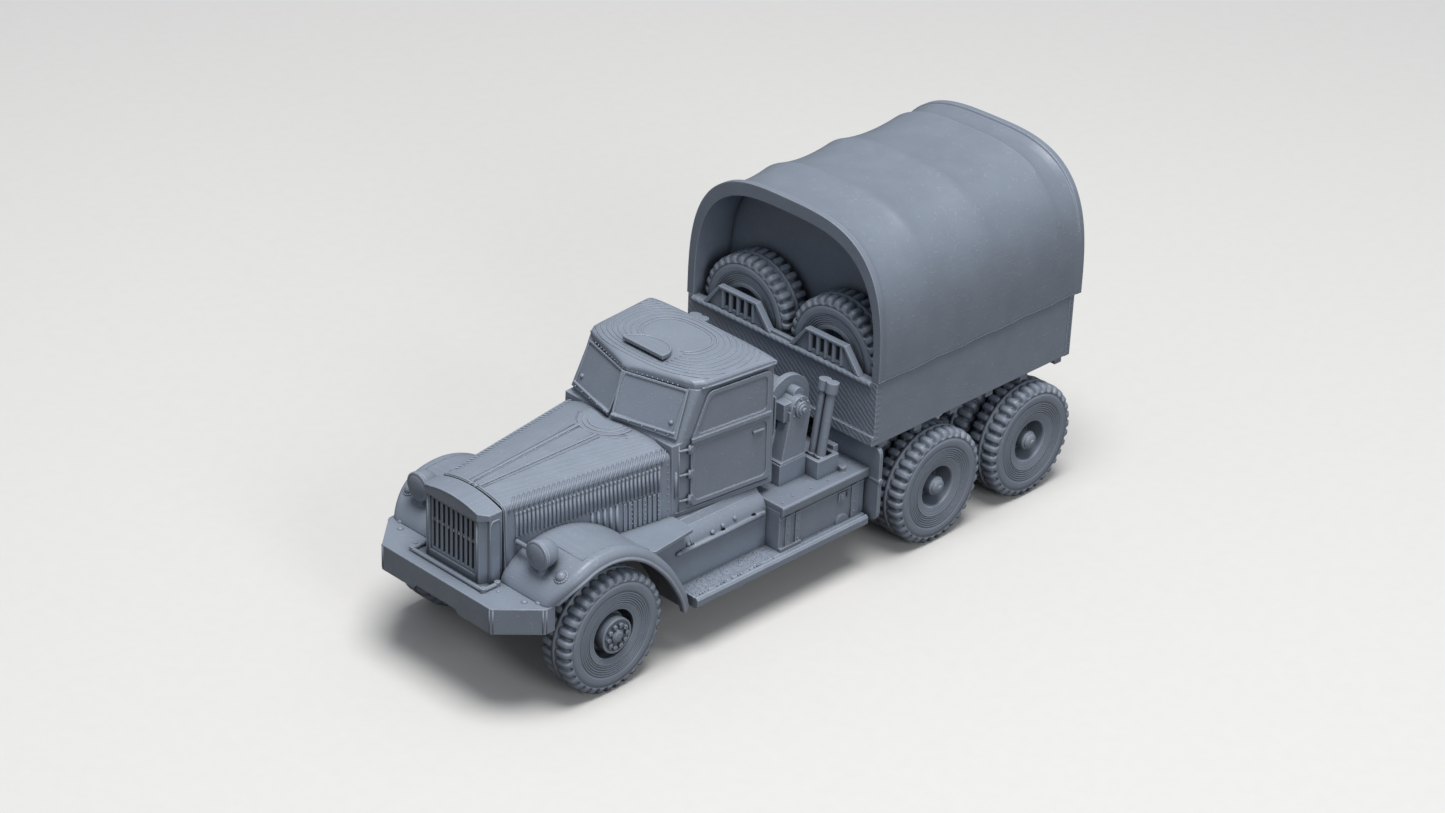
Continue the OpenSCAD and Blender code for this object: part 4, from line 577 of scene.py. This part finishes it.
def bonnet_trim():
    """Hinge lines, shoulder strokes, louvres, flutes, front edge, rivets and rings before the windscreen."""
    bm = bmesh.new()
    for side in (1, -1):
        for y1, y0 in ((0.55, 1.55), (1.5, 2.75)):
            ends = [(lerp(52.4, 30.2, t), lerp(y1, y0, t)) for t in (0, 0.25, 0.5, 0.75, 1)]
            bead(bm, mirrored([(x, y, bonnet_top(x, y) + 0.02) for x, y in ends], side), 0.1)
            for i in range(9):
                x, y = lerp(52.0, 31.0, (i + 0.3) / 9), lerp(y1, y0, (i + 0.3) / 9)
                dome(bm, Vector((x, side * y, bonnet_top(x, y) + 0.05)), (0, 0, 1), 0.16, 0.16)
        for i in range(STROKES):
            x = lerp(52.2, 25.4, i / (STROKES - 1))
            points = []
            for back, z, tuck in ((0, 29.5, 0.0), (0.35, 30.1, 0.04), (0.75, 30.5, 0.22), (1.3, 30.85, 0.75)):
                points.append((x - back, bonnet_side(x - back, z) - tuck + 0.06, z))
            y = bonnet_side(x - 2.1, SHOULDER_Z) - 1.5
            points.append((x - 2.1, y, bonnet_top(x - 2.1, y)))
            bead(bm, mirrored(points, side), 0.15, 6)
        for i in range(LOUVRES):
            x = lerp(51.0, 25.9, i / (LOUVRES - 1))
            foot, head = ((x, bonnet_side(x, z) + 0.06, z) for z in (25.3, 28.7))
            bead(bm, mirrored([foot, head], side), 0.26)
        for x in (37.9, 36.8, 35.7, 34.6, 33.5):
            flute = [(x, bonnet_side(x, z) + 0.02, z) for z in (fender_crown(x) - 1.5, 25.0)]
            bead(bm, mirrored(flute, side), 0.28)
        edge = [(52.8, bonnet_side(52.8, z), z) for z in (20.0, 24.0, 28.0, 29.9)]
        edge += [(52.8, bonnet_side(52.8, SHOULDER_Z) - t, bonnet_top(52.8, 0) - d)
                 for t, d in ((0.25, 1.15), (0.9, 0.8), (2.0, 0.5), (3.5, 0.22), (5.0, 0.06), (6.4, 0.0))]
        bead(bm, mirrored(edge, side), 0.22)
        for x in (31.0, 28.6, 26.2):
            for i in range(5):
                z = lerp(21.2, 24.4, i / 4)
                place = Vector((x, side * (bonnet_side(x, z) + 0.24), z))
                dome(bm, place, (0, side, 0), 0.16, 0.14)
        for i in range(8):
            z = lerp(20.2, 29.0, i / 7)
            dome(bm, Vector((24.3, side * (bonnet_side(24.3, z) + 0.02), z)), (0, side, 0), 0.14, 0.12)
            dome(bm, Vector((52.7, side * (bonnet_side(52.7, z) + 0.02), z)), (0, side, 0), 0.13, 0.1)
    for r, lift in ((4.9, 0.04), (5.5, 0.0)):
        ring = []
        for i in range(15):
            a = math.radians(lerp(-72, 72, i / 14))
            x, y = 25.3 + r * math.cos(a) * 0.86, r * math.sin(a) * 1.05
            ring.append(Vector((x, y, bonnet_top(x, y) + lift)))
        bead(bm, ring, 0.1)
    trim_piece("bonnet_trim", bm)


def fender_trim():
    """Raised panel lines on the fenders and the base rings of the marker lamps."""
    bm = bmesh.new()
    for side in (1, -1):
        across = [(47.3, y, fender_crown(47.3) + 0.02) for y in (9.2, 12.0, 15.0, 17.6)]
        along = [(x, 17.75, fender_crown(x) + 0.02) for x in (47.3, 45.5, 43.5, 41.5, 39.5, 37.5, 35.5, 33.8)]
        bead(bm, mirrored(across, side), 0.09, 6)
        bead(bm, mirrored(along, side), 0.09, 6)
        marker = Vector((50.85, side * 17.0, fender_crown(50.85)))
        slope = Vector((0.55, 0, 0.83))
        for i in range(16):
            a = 2 * math.pi * i / 16
            out = Vector((0.83 * math.cos(a), math.sin(a), -0.55 * math.cos(a)))
            dome(bm, marker + 0.98 * out + slope * 0.06, slope, 0.24, 0.14)
    trim_piece("fender_trim", bm)


def cab_trim():
    """Rivets over the windscreen, pane screws and knobs, cowl strips, hinges, seams, sills and grab bars."""
    bm = bmesh.new()
    for side in (1, -1):
        for i in range(11):
            t = (i + 0.5) / 14
            y = cab_side(18.9, ROOF_Z) * t
            x = SCREEN_X - SCREEN_SHIFT + SCREEN_SWEEP * (1 - t) + 0.34
            dome(bm, Vector((x, side * y, ROOF_Z + 0.2)), (1, 0.2 * side, 0.3), 0.15, 0.16)
        for u in (1.3, 3.6, 6.0, 8.4, 10.6):
            place, n = screen_point(u, 1.45 - 0.03 * u, 0.62)
            dome(bm, Vector((place.x, side * place.y, place.z)), (n.x, side * n.y, n.z), 0.15, 0.14)
        place, n = screen_point(10.5, 3.0, 0.24)
        dome(bm, Vector((place.x, side * place.y, place.z)), (n.x, side * n.y, n.z), 0.42, 0.34)
        cowl = [(22.95, cab_side(22.95, z) + 0.03, z) for z in (23.1, 25.2, 27.3)]
        bead(bm, mirrored(cowl, side), 0.28)
        for z in (22.2, 26.6, 30.8):
            y = cab_side(20.6, z)
            bead(bm, mirrored([(22.2, cab_side(22.2, z) + 0.1, z), (20.3, y + 0.45, z)], side), 0.24)
            bead(bm, mirrored([(20.75, y + 0.5, z - 0.55), (20.75, y + 0.5, z + 0.55)], side), 0.28)
        seam = [(22.35, cab_side(22.35, z) + 0.02, z) for z in (20.2, 24.0, 28.0, 31.6)]
        bead(bm, mirrored(seam, side), 0.13)
        sill = [(x, cab_side(x, 20.3) + 0.04, 20.3) for x in (23.0, 16.0, 10.0, 4.4)]
        bead(bm, mirrored(sill, side), 0.15)
        grab = [(3.9, 13.55, 27.5), (3.45, 13.75, 27.9), (3.45, 13.7, 34.0), (3.9, 13.5, 34.4)]
        bead(bm, mirrored(grab, side), 0.2)
    trim_piece("cab_trim", bm)


def roof_trim():
    """Rings of print layers round the flat oval on top of the cab roof, lip of its scoop and drip rails."""
    bm = bmesh.new()
    for size in RING_SIZES:
        run = []
        for i in range(RING_STEPS + 1):
            a = 2 * math.pi * i / RING_STEPS + (0 if size < 0.85 else math.pi)
            c, s = math.cos(a), math.sin(a)
            x = RING_X + RING_LONG * size * math.copysign(abs(c) ** 0.8, c)
            y = RING_Y + RING_WIDE * size * math.copysign(abs(s) ** 0.8, s)
            on_roof = ROOF_BACK + 0.9 < x < ROOF_FRONT - 0.9 and abs(y) < roof_half(x) - 0.7
            under_scoop = 14.3 < x < 19.1 and abs(y) < 4.6
            if on_roof and not under_scoop:
                run.append(Vector((x, y, roof_top(x, y) - 0.01)))
            if run and (i == RING_STEPS or not on_roof or under_scoop):
                if len(run) > 2:
                    bead(bm, run, 0.17 if size < 0.52 else 0.12, 6)
                run = []
    lip = []
    for i in range(25):
        a = math.radians(lerp(-88, 88, i / 24))
        back = SCOOP_R * math.cos(a)
        lip.append(Vector((SCOOP_X - back, SCOOP_R * math.sin(a), SCOOP_TOP - SCOOP_FALL * back)))
    bead(bm, lip, 0.16)
    for side in (1, -1):
        rail = [(x, roof_half(x) - 0.02, ROOF_Z + 0.17) for x in (18.0, 15.0, 12.0, 9.0, 6.0, 4.0)]
        bead(bm, mirrored(rail, side), 0.2)
    trim_piece("roof_rings", bm)


def deck_trim():
    """Bolts of the deck and the winch heads, rivets and latches of the lockers."""
    bm = bmesh.new()
    for side in (1, -1):
        for x, y in ((5.4, 18.2), (2.6, 17.6), (-1.2, 17.9), (-5.0, 18.0), (-11.6, 16.2)):
            dome(bm, Vector((x, side * y, DECK_TOP)), (0, 0, 1), 0.2, 0.16)
        for i in range(6):
            a = 2 * math.pi * (i + 0.5) / 6
            place = Vector((WINCH_X + WINCH_BOLTS * math.cos(a), side * WINCH_Y,
                            WINCH_Z + WINCH_BOLTS * math.sin(a)))
            dome(bm, place, (0, side, 0), 0.2, 0.18)
        for x in (4.8, 2.6, -10.2):
            for z in (10.9, 12.6, 14.3):
                dome(bm, Vector((x, side * LOCKER_FACE, z)), (0, side, 0), 0.15, 0.14)
        latch = [(-7.9, 18.7, 14.0), (-7.9, 18.85, 15.1), (-8.7, 18.85, 15.1), (-8.7, 18.7, 14.0)]
        bead(bm, mirrored(latch, side), 0.15)
    trim_piece("deck_trim", bm)


def side_trim():
    """Rods, clips and rolled front edges of the side boxes, and the speckled grip of the running boards."""
    bm = bmesh.new()
    grip = random.Random(7)
    for side in (1, -1):
        bead(bm, mirrored([(25.9, 16.1, 15.95), (7.6, 16.1, 15.95)], side), 0.4)
        for x, y, z in ((23.5, 15.85, 16.7), (18.3, 15.8, 16.8), (16.0, 15.7, 17.0), (13.3, 15.55, 17.2)):
            dome(bm, Vector((x, side * y, z)), (0, side, 0.6), 0.42, 0.34)
        roll = [math.radians(a) for a in (5, 20, 35, 50, 65, 80)]
        edge = [(22.7, 13.2 + BOX_ROLL * math.cos(a), 15.9 + BOX_ROLL * math.sin(a)) for a in roll]
        bead(bm, mirrored(edge, side), 0.24)
        for _ in range(260):
            x, y = grip.uniform(7.0, 25.4), grip.uniform(16.1, 19.5)
            size = grip.uniform(0.12, 0.24)
            lump = Matrix.Translation((x, side * y, BOARD_TOP)) @ Matrix.Diagonal((size, size, 0.09, 1.0))
            bmesh.ops.create_icosphere(bm, subdivisions=1, radius=1.0, matrix=lump)
    trim_piece("side_box_and_board_trim", bm)


def tilt_trim():
    """Wavering hem of the tilt, dark as a painted shadow line, and dots down the bed's rear corner strips in
    the same dark grey.
    """
    bm = bmesh.new()
    for side in (1, -1):
        hem = []
        for i in range(33):
            x = lerp(BED_FRONT - 0.1, TAIL_X + 0.1, i / 32)
            z = BED_TOP + 0.2 + 0.1 * math.sin(i * 0.9) + 0.06 * math.sin(i * 2.3)
            hem.append((x, TILT_HALF - 0.05, z))
        bead(bm, mirrored(hem, side), 0.13, 6)
        for i in range(14):
            z = lerp(BED_TOP - 10.4, BED_TOP - 0.6, i / 13)
            dome(bm, Vector((-58.4, side * 21.12, z)), (0, side, 0), 0.14, 0.12)
    trim_piece("tilt_trim", bm, HEM_PAINTED_SHADOW)


BODY = printed_grey("printed_body", layer_marks)
FILL = printed_grey("printed_level_faces", fill_marks)
# tone 0.85: the deck painted darker, as painted shade
DECK = printed_grey("printed_deck_painted_shade", fill_marks, tone=0.85, round_edge=0.5)
BEDWALL = printed_grey("printed_bed_walls", wall_marks)
# tone 0.9: a darker copy of the same grey, painted shade on the tilt
TILT = printed_grey("printed_tilt_painted_shade", tilt_marks, tone=0.9)
BOARD = printed_grey("printed_running_board", board_marks)
FRAME = printed_grey("printed_frame", fill_marks, tone=0.93)
TYRE = printed_grey("printed_tyre", tone=1.0, edge_highlight=0.4)
TRIM = printed_grey("printed_trim", tone=1.12, edge_highlight=0.3)
# tone 0.7 and no edge highlight: painted shadow for the dark line under the tilt's hem
HEM_PAINTED_SHADOW = printed_grey("printed_hem_painted_shadow", tone=0.7, edge_highlight=0.0)

own_finish = {"canopy": TILT, "bed": BEDWALL, "bulkhead": BEDWALL, "deck": DECK, "bumper": FILL}
own_finish.update({f"running_board_{s}": BOARD for s in ("left", "right")})
for row in ("front", "rear_one", "rear_two"):
    low, high = in_mm(f"{row}_wheel_left")
    rings = printed_grey(f"printed_{row}_wheels", ring_marks((low.x + high.x) / 2))
    own_finish.update({f"{row}_wheel_{s}": rings for s in ("left", "right")})
by_slot = {"body_plastic": BODY, "frame_plastic": FRAME, "tyre_plastic": TYRE}
for part in frame["record"]["subparts"]:
    for slot in nodes[part["node"]].material_slots:
        slot.link = "OBJECT"
        slot.material = own_finish.get(part["node"], by_slot[part["material_slot"]])

road = lugged_tyre(AXLE_Z)
for row, kind in (("front", "tyre"), ("rear_one", "tyres"), ("rear_two", "tyres")):
    for side in ("left", "right"):
        node = f"{row}_{kind}_{side}"
        low, high = in_mm(node)
        middle = (low + high) / 2
        apart = (high.y - low.y) / 2 - TYRE_HALF
        places = [middle] if kind == "tyre" else [middle + Vector((0, d, 0)) for d in (-apart, apart)]
        tyre_piece(node, road, places, (0, 1, 0), f"{row}_{side}")
low, high = in_mm("spare_tyre_left")
spare = lugged_tyre((high.y - low.y) / 2)
for side in ("left", "right"):
    low, high = in_mm(f"spare_tyre_{side}")
    tyre_piece(f"spare_tyre_{side}", spare, [(low + high) / 2], (1, 0, 0), "chassis")
bpy.data.meshes.remove(road)
bpy.data.meshes.remove(spare)

bumper_trim()
radiator_trim()
bonnet_trim()
fender_trim()
cab_trim()
roof_trim()
deck_trim()
side_trim()
tilt_trim()
smooth_tilt()

# studio
bm = bmesh.new()
bmesh.ops.create_grid(bm, x_segments=2, y_segments=2, size=3.0)
floor_mesh = bpy.data.meshes.new("studio_floor")
bm.to_mesh(floor_mesh)
bm.free()
floor_mesh.materials.append(floor_paper())
floor = bpy.data.objects.new("studio_floor", floor_mesh)
bpy.context.scene.collection.objects.link(floor)

world = bpy.data.worlds.new("studio_world")
world.use_nodes = True
bpy.context.scene.world = world
background = world.node_tree.nodes["Background"]
background.inputs["Color"].default_value = (0.86, 0.92, 1.0, 1.0)
background.inputs["Strength"].default_value = 0.29


def area_light(name, place, target, size, watts, colour):
    lamp = bpy.data.lights.new(name, "AREA")
    lamp.shape = "DISK"
    lamp.size = size
    lamp.energy = watts
    lamp.color = colour
    obj = bpy.data.objects.new(name, lamp)
    obj.location = place
    obj.rotation_euler = (Vector(target) - Vector(place)).to_track_quat("-Z", "Y").to_euler()
    bpy.context.scene.collection.objects.link(obj)


area_light("top_softbox", (0.05, 0.10, 0.78), (0, 0, 0.02), 0.42, 5.7, (1.0, 0.985, 0.96))
area_light("left_fill", (0.20, 0.82, 0.42), (0, 0, 0.02), 0.35, 1.9, (0.95, 0.98, 1.0))

# camera of the photograph, worked out for a frame of 1445 by 813
camera_data = bpy.data.cameras.new("camera")
camera_data.lens = 87.46
camera_data.sensor_width = 36.0
camera_data.clip_start = 0.01
camera = bpy.data.objects.new("camera", camera_data)
right = Vector((-0.7092756, 0.70409855, 0.03425431))
up = Vector((-0.31762416, -0.3625844, 0.87615492))
back = Vector((0.62931949, 0.61055531, 0.48081097))
turned = Matrix((right, up, back)).transposed().to_4x4()
camera.matrix_world = Matrix.Translation((0.349213, 0.337921, 0.291967)) @ turned
bpy.context.scene.collection.objects.link(camera)
bpy.context.scene.camera = camera
bpy.context.scene.view_settings.view_transform = "Standard"
